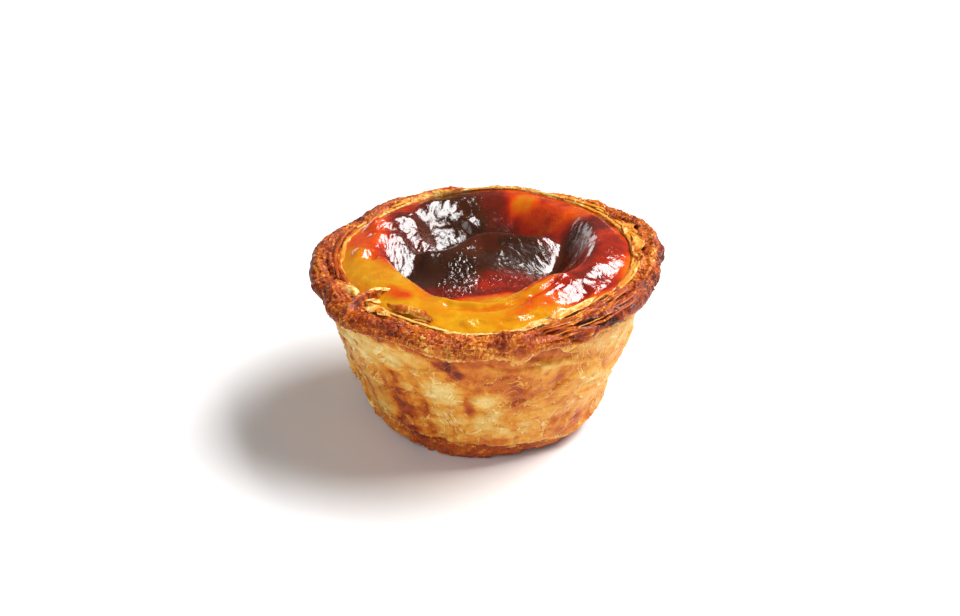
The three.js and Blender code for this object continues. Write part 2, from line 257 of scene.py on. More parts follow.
def rimSection(angle):
    # radius, height and share of the way from under the lip to the custard's edge
    lift = rimLift(angle)
    outerRings, innerRings = cup["rimRings"]
    crest, inset = rimCrest(angle)
    under = cup["rimUnderDepth"] + cup["rimUnderWander"] * noiseRound(angle, 0, cup["rimUnderPatches"], 1, 17)
    turn = np.radians(np.linspace(cup["rimStartDegrees"], 90, outerRings)[:, None])
    upward = np.where(turn > 0, cup["rimCrestHeight"] - cup["rimOuterHeight"], under)
    radius = [crest + inset * np.cos(turn)]
    height = [cup["rimOuterHeight"] + lift + upward * np.sin(turn)]
    last = math.radians(cup["rimInnerDegrees"])
    turn = steps(0, last, innerRings)
    inward = np.sin(turn) / math.sin(last)
    downward = (1 - np.cos(turn)) / (1 - math.cos(last))
    radius.append(mixed(crest, custardEdge(angle), inward))
    height.append(mixed(cup["rimCrestHeight"] + lift, custardEdgeHeight(angle, 1), downward))
    hold = np.vstack([np.ones((outerRings, len(angle))), 1 - inward ** 2 + 0 * angle])
    inner = np.vstack([np.zeros((outerRings, len(angle))), inward + 0 * angle])
    return np.vstack(radius), np.vstack(height), hold, inner


def outwardOf(radius, height):
    # the outward direction of each section, and the length run along it
    acrossRadius, acrossHeight = np.gradient(radius, axis=0), np.gradient(height, axis=0)
    run = np.hypot(acrossRadius, acrossHeight) + 1e-9
    lengths = np.hypot(np.diff(radius, axis=0), np.diff(height, axis=0))
    along = np.vstack([np.zeros(radius.shape[1]), np.cumsum(lengths, axis=0)])
    return acrossHeight / run, -acrossRadius / run, along


# The wall. Sheets are patches round the cup, patch height, level, thickness, seed. Noises are patches round
# the cup, patch height, seed, finer layers.
wall = {
    "slices": 700,
    "twist": 0.02,  # how far the finer layers are bent round the cup
    "fraying": 0.1,
    "sheetEdge": 0.035,
    "fineSheetEdge": 0.05,
    "calmest": 0.35,  # what is left of the fine sheets where the wall is calmest
    "sheets": [(7, 9, -0.12, 0.6, 3), (12, 5.5, 0.05, 0.5, 8), (19, 4, 0.12, 0.35, 21)],
    "fineSheets": [(27, 2.6, 0.1, 0.2, 41), (17, 1.5, 0.0, 0.14, 42), (49, 1.7, 0.18, 0.12, 43)],
    "skirt": {"height": 4.2, "wander": 1.7, "patches": 9, "seed": 5, "halfStep": 0.22},
    "noises": {
        "warp": (30, 5, 61, 2), "fray": (110, 1.5, 62, 3), "calm": (9, 8, 63, 2), "skirtEdge": (60, 1, 64, 3),
        "grain": (260, 0.8, 65, 3), "ripples": (70, 2.2, 66, 3), "blisters": (150, 1.5, 67, 2),
        "ragged": (50, 3, 68, 4, 0.65), "wideShades": (11, 7, 71, 3), "fineShades": (40, 2.4, 72, 3),
        "browned": (8, 7, 73, 2), "underside": (24, 4, 74, 4), "pits": (30, 3, 75, 3),
        "flaky": (14, 6, 76, 2),
    },
    # from which level to which in a noise its marks grow
    "levels": {
        "calm": (-0.35, 0.2), "blisters": (0.32, 0.6), "browned": (0.1, 0.5), "pits": (0.25, 0.6),
        "flaky": (-0.1, 0.4),
    },
    # how far each layer stands out
    "rises": {
        "sheets": 1, "fineSheets": 1, "skirt": -0.55, "creases": 1, "grain": 0.03, "ripples": 0.12,
        "blisters": 0.1, "dents": 1,
    },
    "fineLipRise": 0.1,
    "pitRise": 0.3,
    "pitsWithin": 19,
    "sandy": 0.12,
    # how much browner each layer is than the plain dough; lips and grain and ripple crests are painted paler
    # as painted highlight, under the lips and the creases painted darker as painted shade
    "plainBake": 0.3,
    "bakes": {
        "wideShades": 0.12, "fineShades": 0.1, "browned": 0.14, "patches": 1.15, "creases": 0.12,
        "paintedShadeUnderLips": 0.16, "finePaintedShadeUnderLips": 0.3, "lipsAndPaintedHighlight": -0.12, "fineLipsAndPaintedHighlight": -0.14, "grain": -0.05,
        "blisters": 0.06, "ripples": -0.08, "underRim": 0.14, "skirtEdge": -0.1,
    },
    "skirtBake": 0.6,
    "skirtBakes": {"patches": 1.15, "ripples": 0.12, "grain": -0.08},
    "undersideBake": {"plain": 0.52, "shades": 0.2, "ring": 0.1, "ringRadius": 18, "ringWidth": 3},
    # dents, bulges and creases: from (degrees, height), to, depth, width
    "creases": [
        ((184, 28), (199, 15), 1.1, 6), ((199, 6), (216, 3), -0.9, 4), ((224, 3), (240, 3.01), -0.6, 3.5),
        ((320, 4), (342, 5), -0.9, 3.5), ((226, 23), (231, 5), 0.55, 1.5), ((243, 21), (248, 4), 0.6, 1.3),
        ((262, 20), (265, 12), 0.35, 1.2), ((300, 28), (296, 14), 0.4, 1.2), ((312, 12), (300, 5), 0.45, 1.4),
        ((190, 26), (206, 8), 0.5, 1.5), ((345, 25), (330, 8), 0.5, 1.5), ((20, 26), (28, 7), 0.5, 1.5),
        ((75, 24), (62, 9), 0.5, 1.4), ((118, 27), (126, 6), 0.55, 1.5), ((158, 22), (150, 5), 0.5, 1.4),
    ],
    # where the wall is pressed in: middle (degrees, height), half sizes (degrees, mm), slant, how far
    "dents": [((193, 17), (40, 15), 0, -1.0), ((347, 8), (34, 11), 0, -1.2)],
    # browning: middle (degrees, height), half sizes (degrees, mm), slant, how much browner
    "browning": [
        ((234, 13), (8, 9), 0.3, 0.2), ((244.5, 12), (2.5, 9), 0.3, 0.1),
        ((255, 26.8), (5, 1.3), -0.35, 0.3), ((260, 25.2), (3, 1.2), -0.3, 0.22),
        ((264, 16.5), (2, 4), 0, 0.14), ((282, 18.5), (3.5, 5.5), 0, 0.12),
        ((273, 7), (12, 2.2), 0, 0.12), ((207, 14), (4, 9), 0.6, 0.2),
        ((196, 20), (4, 6), 0.6, 0.16), ((253, 19), (7, 4.5), 0, -0.16),
        ((272, 18.5), (4.5, 2.6), 0, -0.12), ((225, 26.5), (20, 3.6), -0.2, -0.15),
        ((312, 25), (13, 5), 0, -0.06), ((330, 17), (22, 14), 0, -0.02),
        ((216, 9), (4, 6), 0, -0.1), ((318, 8), (4, 3), 0, 0.12),
        ((303, 12), (3, 5), -0.4, 0.1), ((204, 2.4), (26, 4.6), 0, -0.17),
    ],
}


def weighed(weights, layers):
    # the layers added up, each by the weight under its name
    return sum(weights[name] * layer for name, layer in layers.items())


def creaseRelief(angle, height, radius):
    # the dents, bulges and creases, and where the creases run, which the wall's colour darkens as painted
    # shade
    relief, line = 0, 0
    for (startDegrees, startHeight), (endDegrees, endHeight), depth, width in wall["creases"]:
        share = np.clip((height - startHeight) / (endHeight - startHeight), 0, 1)
        turn = wrapped(angle - np.radians(mixed(startDegrees, endDegrees, share)))
        pastEnd = height - mixed(startHeight, endHeight, share)
        fade = np.sin(np.pi * mixed(0.1, 0.9, share))
        part = fade * bump(np.hypot(turn * radius, pastEnd), width)
        relief = relief - depth * part
        line = line + part * (0 < depth < 1)
    return relief, line


def sheetLayers(sheets, angle, along, fray, edge):
    # broken sheets with ragged edges: their relief, their raised lips, painted paler later as a painted
    # highlight, and the steps under them, painted darker later as painted shade
    relief, lipsAndPaintedHighlight, paintedShadeUnderLips = 0, 0, 0
    for patches, height, level, thickness, seed in sheets:
        value = noiseRound(angle, along, patches, height, seed) - level + fray
        relief = relief + thickness * (smooth(value, -edge, edge) - 0.5)
        lipsAndPaintedHighlight = lipsAndPaintedHighlight + thickness * bump(value - 1.6 * edge, 1.6 * edge)
        paintedShadeUnderLips = paintedShadeUnderLips + thickness * bump(value + 1.8 * edge, 1.8 * edge)
    return relief, lipsAndPaintedHighlight, paintedShadeUnderLips


def marksOn(look, name, angle, along):
    # where this noise is high enough for its marks to show, from 0 to 1
    return smooth(layeredRound(angle, along, *look["noises"][name]), *look["levels"][name])


def patchesOnWall(patches, angle, height, ragged=0):
    # soft patches added up, each with its own amount at its middle
    total = 0
    for (degrees, middle), (halfDegrees, halfHeight), slant, amount in patches:
        turn = np.degrees(wrapped(angle - math.radians(degrees)))
        up = height - middle
        far = np.hypot((turn + slant * up) / halfDegrees, up / halfHeight) + ragged
        total = total + amount * (1 - smooth(far, 0.4, 1.35))
    return total


def wallSurface():
    angle = np.arange(wall["slices"]) / wall["slices"] * tau
    radius, height = wallSection(angle)
    outward, upward, along = outwardOf(radius, height)
    along = along + radius[0]
    underside = height < 0.02
    noises, skirt, footBake = wall["noises"], wall["skirt"], wall["undersideBake"]
    warp = layeredRound(angle, along, *noises["warp"])
    turned = angle + wall["twist"] * warp
    fray = wall["fraying"] * layeredRound(angle, along, *noises["fray"])
    sheets, lipsAndPaintedHighlight, paintedShadeUnderLips = sheetLayers(wall["sheets"], angle, along, fray, wall["sheetEdge"])
    calm = mixed(wall["calmest"], 1, marksOn(wall, "calm", angle, along))
    fine, fineLipsAndPaintedHighlight, finePaintedShadeUnderLips = sheetLayers(
        wall["fineSheets"], turned, along + 0.6 * warp, 1.4 * fray, wall["fineSheetEdge"]
    )
    creases, paintedShadeInCreases = creaseRelief(angle, height, radius)
    # the outer sheet ends in a ragged edge above the foot
    edge = skirt["height"] + skirt["wander"] * noiseRound(angle, 0, skirt["patches"], 1, skirt["seed"])
    edge = edge + 0.55 * layeredRound(angle, 0, *noises["skirtEdge"]) + 2.5 * fray
    below = 1 - smooth(height, edge - skirt["halfStep"], edge + skirt["halfStep"])
    grain = layeredRound(turned, along, *noises["grain"])
    ripples = layeredRound(turned, along + 0.8 * warp, *noises["ripples"])
    blisters = marksOn(wall, "blisters", turned, along)
    relief = weighed(wall["rises"], {
        "sheets": sheets, "fineSheets": calm * (fine + wall["fineLipRise"] * fineLipsAndPaintedHighlight), "skirt": below,
        "creases": creases, "grain": grain, "ripples": ripples, "blisters": blisters,
        "dents": patchesOnWall(wall["dents"], angle, height),
    })
    relief = np.where(underside, 0, relief)
    ragged = 0.6 * layeredRound(turned, along, *noises["ragged"])
    patches = patchesOnWall(wall["browning"], angle, height, ragged)
    top = wallTop(angle)[1]
    # browning, with painted highlight on the lips and on grain and ripple crests, and painted shade under the
    # lips and in the creases
    bake = wall["plainBake"] + weighed(wall["bakes"], {
        "wideShades": layeredRound(angle, along, *noises["wideShades"]),
        "fineShades": layeredRound(turned, along, *noises["fineShades"]),
        "browned": marksOn(wall, "browned", angle, along), "patches": patches, "creases": paintedShadeInCreases,
        "paintedShadeUnderLips": paintedShadeUnderLips, "finePaintedShadeUnderLips": calm * finePaintedShadeUnderLips, "lipsAndPaintedHighlight": lipsAndPaintedHighlight,
        "fineLipsAndPaintedHighlight": calm * fineLipsAndPaintedHighlight, "grain": grain, "blisters": blisters, "ripples": ripples,
        "underRim": smooth(height - top, -3.6, -0.4), "skirtEdge": bump(height - edge - 0.5, 0.35),
    })
    skirtLayers = {"patches": patches, "ripples": ripples, "grain": grain}
    bake = mixed(bake, wall["skirtBake"] + weighed(wall["skirtBakes"], skirtLayers), below)
    under = footBake["plain"] + footBake["shades"] * layeredRound(angle, along, *noises["underside"])
    under = under + footBake["ring"] * bump(radius - footBake["ringRadius"], footBake["ringWidth"])
    bake = np.where(underside, under, bake)
    height = np.maximum(height + upward * relief, 0)
    # the foot rests flat, with shallow pits baked into it
    pits = wall["pitRise"] * marksOn(wall, "pits", angle, along) * (radius < wall["pitsWithin"])
    flaky = marksOn(wall, "flaky", angle, along) * smooth(height - edge, 0, 1.5)
    flaky = np.where(underside, 0, np.maximum(flaky, bump(height - edge - 0.4, 0.6)))
    return angle, radius + outward * relief, np.where(underside, pits, height), bake, flaky


# The rim, with sheets and noises given as the wall's are.
rim = {
    "slices": 1380,
    "glossyDegrees": 308,
    "glossyReach": (0.2, 0.42),
    "glossyRelief": 0.45,  # what is left of the fine relief on the glossy folds
    "reliefAtCustard": 0.55,  # and at the custard's edge
    "sandy": (1, 0.2),
    "twist": 0.012,
    "fraying": 0.18,
    "skinEdge": 0.05,
    "hiddenBake": 0.4,
    # crags: patches round, patch width, rise, seed
    "crags": [(46, 2.9, 0.45, 13), (23, 5.8, 0.45, 14)],
    "ridges": {
        "height": 0.3, "pitch": 2.5, "patches": 11, "width": 5, "reach": 1.4, "seed": 15,
        "faintest": 0.15, "clearest": 0.8,
    },
    "layerPitch": 0.95,
    "skins": [(58, 2.6, 0.0, 0.2, 51), (97, 1.6, 0.1, 0.14, 52), (37, 4.4, -0.05, 0.2, 53)],
    "noises": {
        "ridged": (16, 4, 80, 2), "warp": (60, 3, 81, 2), "torn": (70, 2.5, 82, 2),
        "grain": (420, 0.55, 83, 2), "lumps": (170, 1.4, 84, 4, 0.6), "pits": (240, 0.95, 85, 2),
        "fray": (300, 0.7, 86, 2), "flaky": (30, 3, 87, 2), "patches": (40, 3, 91, 3),
    },
    # from which level to which in a noise its marks grow
    "levels": {"ridged": (-0.2, 0.4), "torn": (0, 0.4), "pits": (0.32, 0.62), "flaky": (-0.3, 0.3)},
    # how far each layer stands out
    "rises": {"layers": 0.07, "grain": 0.1, "pits": 0.12, "lumps": 0.24, "lipsAndPaintedHighlight": 0.2},
    # how much browner each layer is than the place it is on; lips, lumps, grain and layer crests are painted
    # paler as painted highlight, and pits, cracks and the steps under the lips painted darker as painted
    # shade
    "bakes": {
        "patches": 0.16, "lumps": -0.14, "grain": -0.12, "layers": -0.08, "lipsAndPaintedHighlight": -0.3, "paintedShadeUnderLips": 0.4,
        "pits": 0.12, "cracks": 0.3,
    },
    "underLipBake": 0.42,
    "palerBy": 0.12,
    # where the browning changes to the outer side's, the crest's, the inner side's and the edge's, from 0
    # under the lip to 1 at the custard
    "browningSpans": [(0.04, 0.2), (0.32, 0.5), (0.62, 0.85), (0.86, 0.98)],
    # how brown it is, by where it faces: degrees, half width, outer side, crest, inner side, edge
    "browning": [
        (178, 34, 0.94, 0.76, 0.8, 0.56),
        (150, 20, 1.02, 0.84, 0.62, 0.28),
        (120, 24, 0.98, 0.76, 0.44, 0.26),
        (90, 22, 0.84, 0.5, 0.36, 0.26),
        (55, 20, 0.95, 0.68, 0.42, 0.3),
        (20, 20, 0.94, 0.72, 0.5, 0.36),
        (345, 20, 0.94, 0.76, 0.54, 0.38),
        (312, 16, 0.84, 0.92, 0.8, 0.44),
        (283, 16, 0.66, 0.74, 0.52, 0.26),
        (258, 14, 0.68, 0.74, 0.46, 0.24),
        (232, 16, 0.7, 0.8, 0.66, 0.4),
        (212, 14, 0.78, 0.82, 0.7, 0.5),
    ],
    # scraps of pastry raised on the rim and the custard's edge: rise, width, path seen from above
    "scraps": [
        (0.9, 1.0, [(15, -30), (20.7, -27.6), (26, -24.2)]),
        (0.7, 1.0, [(13.5, -26.4), (18.5, -24.6), (23, -21.6)]),
        (1.0, 2.2, [(4.4, -32.6), (7.4, -33)]),
        (0.5, 0.9, [(-5, -29.2), (0, -29.6), (5, -29.6)]),
    ],
    # cracks between the layers, each also painted darker as painted shade in the crack: depth, width, path
    # seen from above
    "cracks": [
        (1.3, 0.42, [(15.0, -26.6), (17.6, -26.2), (20.2, -25.1), (23.0, -23.6), (25.0, -22.0)]),
        (1.2, 0.4, [(14.6, -28.9), (18.0, -28.7), (21.0, -27.4), (24.2, -25.6), (26.0, -24.0)]),
        (0.7, 0.35, [(12.0, -30.6), (16.5, -30.6), (20.5, -29.2), (24.0, -27.2)]),
        (0.8, 0.4, [(-29.8, 12.2), (-30.4, 7.5), (-30.1, 3.0), (-29.2, -1.5), (-27.6, -5.6)]),
        (0.7, 0.35, [(-28.3, 15.6), (-29.2, 10.5), (-29.1, 5.5), (-28.7, 1.0)]),
        (0.5, 0.35, [(-32.3, 6.5), (-32.2, 1.5), (-31.3, -3.0)]),
        (1.1, 0.5, [(31.4, -0.4), (31.8, -1.6), (31.5, -3.0)]),
        (0.8, 0.4, [(26.6, 17.6), (29.4, 13.5), (31.4, 9.5), (31.2, 6.2)]),
        (0.7, 0.4, [(29.2, 5.2), (28.7, 1.0), (28.6, -3.0)]),
        (0.5, 0.3, [(-4.6, -30.4), (0.0, -30.9), (4.0, -31.2)]),
        (0.4, 0.3, [(-6.0, -29.3), (-1.0, -29.9), (3.5, -30.2)]),
        (0.6, 0.4, [(8.8, -33.3), (10.4, -31.5), (11.4, -29.6)]),
        (0.5, 0.4, [(3.0, -31.4), (3.6, -33.4), (3.4, -34.8)]),
    ],
}


def glossinessOf(angle):
    # where the rim is smooth, glossy folds rather than sandy, from 0 to 1
    turn = wrapped(angle - math.radians(rim["glossyDegrees"]))
    return 1 - smooth(abs(turn), *rim["glossyReach"])


def rimSurface():
    angle = np.arange(rim["slices"]) / rim["slices"] * tau
    radius, height, hold, inner = rimSection(angle)
    outward, upward, along = outwardOf(radius, height)
    wallRadius, wallHeight = wallSection(angle[:1])
    along = along + outwardOf(wallRadius, wallHeight)[2][-1, 0] + wallRadius[0, 0]
    x, y = radius * np.cos(angle), radius * np.sin(angle)
    noises, rises, ridging = rim["noises"], rim["rises"], rim["ridges"]
    warp = layeredRound(angle, along, *noises["warp"])
    turned, shifted = angle + rim["twist"] * warp, along + 0.5 * warp
    crags = sum(
        rise * noiseRound(angle, along, patches, width, seed) for patches, width, rise, seed in rim["crags"]
    )
    wander = noiseRound(angle, along, ridging["patches"], ridging["width"], ridging["seed"])
    wander = ridging["reach"] * wander
    ridges = ridging["height"] * np.sin(tau * (along + wander) / ridging["pitch"])
    ridged = marksOn(rim, "ridged", angle, along)
    ridges = ridges * mixed(ridging["faintest"], ridging["clearest"], ridged)
    scraps = 0
    for rise, width, path in rim["scraps"]:
        distance, _, _ = nearestOnPath(x, y, smoothPath(path))
        scraps = np.maximum(scraps, rise * bump(distance, width))
    # broken skins of dough over the rim, each with a crisp edge; its lip is painted paler as a painted
    # highlight and the step under it darker as painted shade
    fray = rim["fraying"] * layeredRound(turned, shifted, *noises["fray"])
    skins, lipsAndPaintedHighlight, paintedShadeUnderLips = sheetLayers(rim["skins"], turned, shifted, fray, rim["skinEdge"])
    torn = marksOn(rim, "torn", angle, along)
    layers = np.sin(tau * (shifted + 0.5 * wander) / rim["layerPitch"])
    grain = layeredRound(turned, shifted, *noises["grain"])
    calm = mixed(1, rim["glossyRelief"], glossinessOf(angle))
    lumps = calm * layeredRound(turned, shifted, *noises["lumps"])
    pits = marksOn(rim, "pits", turned, shifted)
    cracks = 0
    for depth, width, path in rim["cracks"]:
        distance, share, _ = nearestOnPath(x + 0.3 * warp, y + 0.25 * lumps, smoothPath(path))
        cracks = np.maximum(cracks, depth * bump(distance, width) * np.sin(np.pi * mixed(0.12, 0.88, share)))
    relief = (crags + ridges + scraps) * hold
    reach = mixed(1, rim["reliefAtCustard"], inner ** 3)
    fine = rises["layers"] * layers * torn + calm * (rises["grain"] * grain - rises["pits"] * pits)
    fine = fine + rises["lumps"] * lumps + skins + rises["lipsAndPaintedHighlight"] * lipsAndPaintedHighlight
    relief = relief + reach * fine - cracks
    # browning, with painted highlight on raised lips, lumps, grain and layers, and painted shade in pits, in
    # cracks and under the lips
    bake = rimBrownness(angle, len(inner)) + weighed(rim["bakes"], {
        "patches": layeredRound(angle, along, *noises["patches"]), "lumps": lumps, "grain": grain,
        "layers": layers * torn, "lipsAndPaintedHighlight": lipsAndPaintedHighlight, "paintedShadeUnderLips": paintedShadeUnderLips, "pits": pits,
        "cracks": np.minimum(cracks, 0.8),
    })
    clearOfWall = smooth(np.linspace(0, 1, len(inner))[:, None], 0.1, 0.3)
    flaky = marksOn(rim, "flaky", angle, along) * clearOfWall * (1 - glossinessOf(angle))
    return angle, radius + outward * relief, height + upward * relief, bake, flaky


def rimBrownness(angle, rings):
    # how brown each ring is all round, from under the lip to the custard's edge
    weights, sums = 0, 0
    for degrees, halfWidth, *levels in rim["browning"]:
        turn = np.degrees(wrapped(angle - math.radians(degrees)))
        weight = bump(turn, halfWidth) + 1e-6
        sums = sums + weight * np.array(levels)[:, None]
        weights = weights + weight
    share = np.linspace(0, 1, rings)[:, None]
    level = rim["underLipBake"]
    for nextLevel, span in zip(sums / weights, rim["browningSpans"]):
        level = mixed(level, nextLevel, smooth(share, *span))
    return level - rim["palerBy"]


def addObject(name, data):
    added = bpy.data.objects.new(name, data)
    bpy.context.scene.collection.objects.link(added)
    return added


def carry(mesh, name, values):
    # gives each point of the mesh its own value
    values = np.asarray(values, np.float32)
    mesh.attributes.new(name, "FLOAT", "POINT").data.foreach_set("value", values)


def ringFaces(x, poles):
    # corner numbers of the faces over rings of points, each ring closed
    rings, slices = x.shape
    ring, piece = np.meshgrid(np.arange(rings - (poles is not None)), np.arange(slices), indexing="ij")
    after, following = (ring + 1) % rings, (piece + 1) % slices
    here, above = ring * slices, after * slices
    quads = np.stack([here + piece, here + following, above + following, above + piece], axis=-1)
    quads = quads.reshape(-1, 4)
    if poles is None:
        return quads.ravel(), np.full(len(quads), 4)
    first, last, lastRing = rings * slices, rings * slices + 1, (rings - 1) * slices
    piece = np.arange(slices)
    following = (piece + 1) % slices
    start = np.stack([np.full(slices, first), following, piece], axis=-1)
    end = np.stack([np.full(slices, last), lastRing + piece, lastRing + following], axis=-1)
    loops = np.concatenate([quads.ravel(), start.ravel(), end.ravel()])
    return loops, np.concatenate([np.full(len(quads), 4), np.full(2 * slices, 3)])


def meshFromRings(name, parts):
    # each part: x, y, z and named values for rings of points, and the poles that shut its ends; without poles
    # its last ring meets its first
    points, loops, sizes = [], [], []
    values = {key: [] for key in parts[0][3]}
    reached = 0
    for x, y, z, shades, poles in parts:
        corners, counts = ringFaces(x, poles)
        part = np.stack([x, y, z], axis=-1).reshape(-1, 3)
        part = part if poles is None else np.vstack([part, poles])
        for key, shade in shades.items():
            ends = [] if poles is None else [shade[0].mean(), shade[-1].mean()]
            values[key].append(np.concatenate([shade.ravel(), ends]))
        points.append(part)
        loops.append(corners + reached)
        sizes.append(counts)
        reached += len(part)
    points, loops, sizes = map(np.concatenate, (points, loops, sizes))
    mesh = bpy.data.meshes.new(name)
    mesh.vertices.add(len(points))
    mesh.vertices.foreach_set("co", ((points + axisOffset) * mm).astype(np.float32).ravel())
    mesh.loops.add(len(loops))
    mesh.loops.foreach_set("vertex_index", loops.astype(np.int32))
    mesh.polygons.add(len(sizes))
    mesh.polygons.foreach_set("loop_start", np.concatenate([[0], np.cumsum(sizes)[:-1]]).astype(np.int32))
    mesh.polygons.foreach_set("use_smooth", np.ones(len(sizes), bool))
    for key, shades in values.items():
        carry(mesh, key, np.concatenate(shades))
    mesh.update(calc_edges=True)
    mesh.validate()
    return addObject(name, mesh)


def findCupAxis():
    # the hollow's floor is round, so its middle is where the cup's axis stands in the frame
    points = np.array([v.co for v in frame["nodes"]["pastry_shell"].data.vertices]) / mm
    floor = points[abs(points[:, 2] - cup["hollowFloorHeight"]) < 0.01]
    middle = (floor.min(0) + floor.max(0)) / 2
    return np.array([middle[0], middle[1], 0])


axisOffset = findCupAxis()


def closedUnder(name, surface, hidden, hiddenBake, sandy, poles):
    # a piece from its surface and the hidden rings, each a radius and a height, that close it
    angle, radius, height, bake, flaky = surface
    radius = np.vstack([radius, *[r for r, _ in hidden]])
    height = np.vstack([height, *[h for _, h in hidden]])
    bake = np.vstack([bake, *[hiddenBake + 0 * angle] * len(hidden)])
    flaky = np.vstack([flaky, *[0 * angle] * len(hidden)])
    values = {"bake": bake, "flaky": flaky, "sandy": sandy + 0 * bake}
    return meshFromRings(name, [(radius * np.cos(angle), radius * np.sin(angle), height, values, poles)])


def makeWall():
    surface = wallSurface()
    angle = surface[0]
    edge, level = custardEdge(angle), custardEdgeHeight(angle, 1)
    top = wallTop(angle)[1]
    floor = cup["hollowFloorHeight"]
    # over the top and down the hollow to its floor
    hidden = [
        (edge + 1.3, top + 0.4), (edge - 0.5, level - 3.3), (0.5 * edge + 11.2, 0.5 * level),
        (cup["hollowFloorRadius"] + 0 * angle, floor + 0 * angle),
    ]
    poles = [(0, 0, 0), (0, 0, floor)]
    return closedUnder("cupWall", surface, hidden, wall["plainBake"], wall["sandy"], poles)


def makeRim():
    surface = rimSurface()
    angle = surface[0]
    edge, level = custardEdge(angle), custardEdgeHeight(angle, 1)
    topRadius, topHeight = wallTop(angle)
    # down inside the custard's edge and back out through the wall
    hidden = [
        (edge - 0.3, level - 1.7), (edge - 0.1, level - 3.1), (edge + 1.2, topHeight - 0.3),
        (topRadius - 0.9, topHeight - 0.4),
    ]
    sandy = mixed(*rim["sandy"], glossinessOf(angle))
    return closedUnder("cupRim", surface, hidden, rim["hiddenBake"], sandy, None)


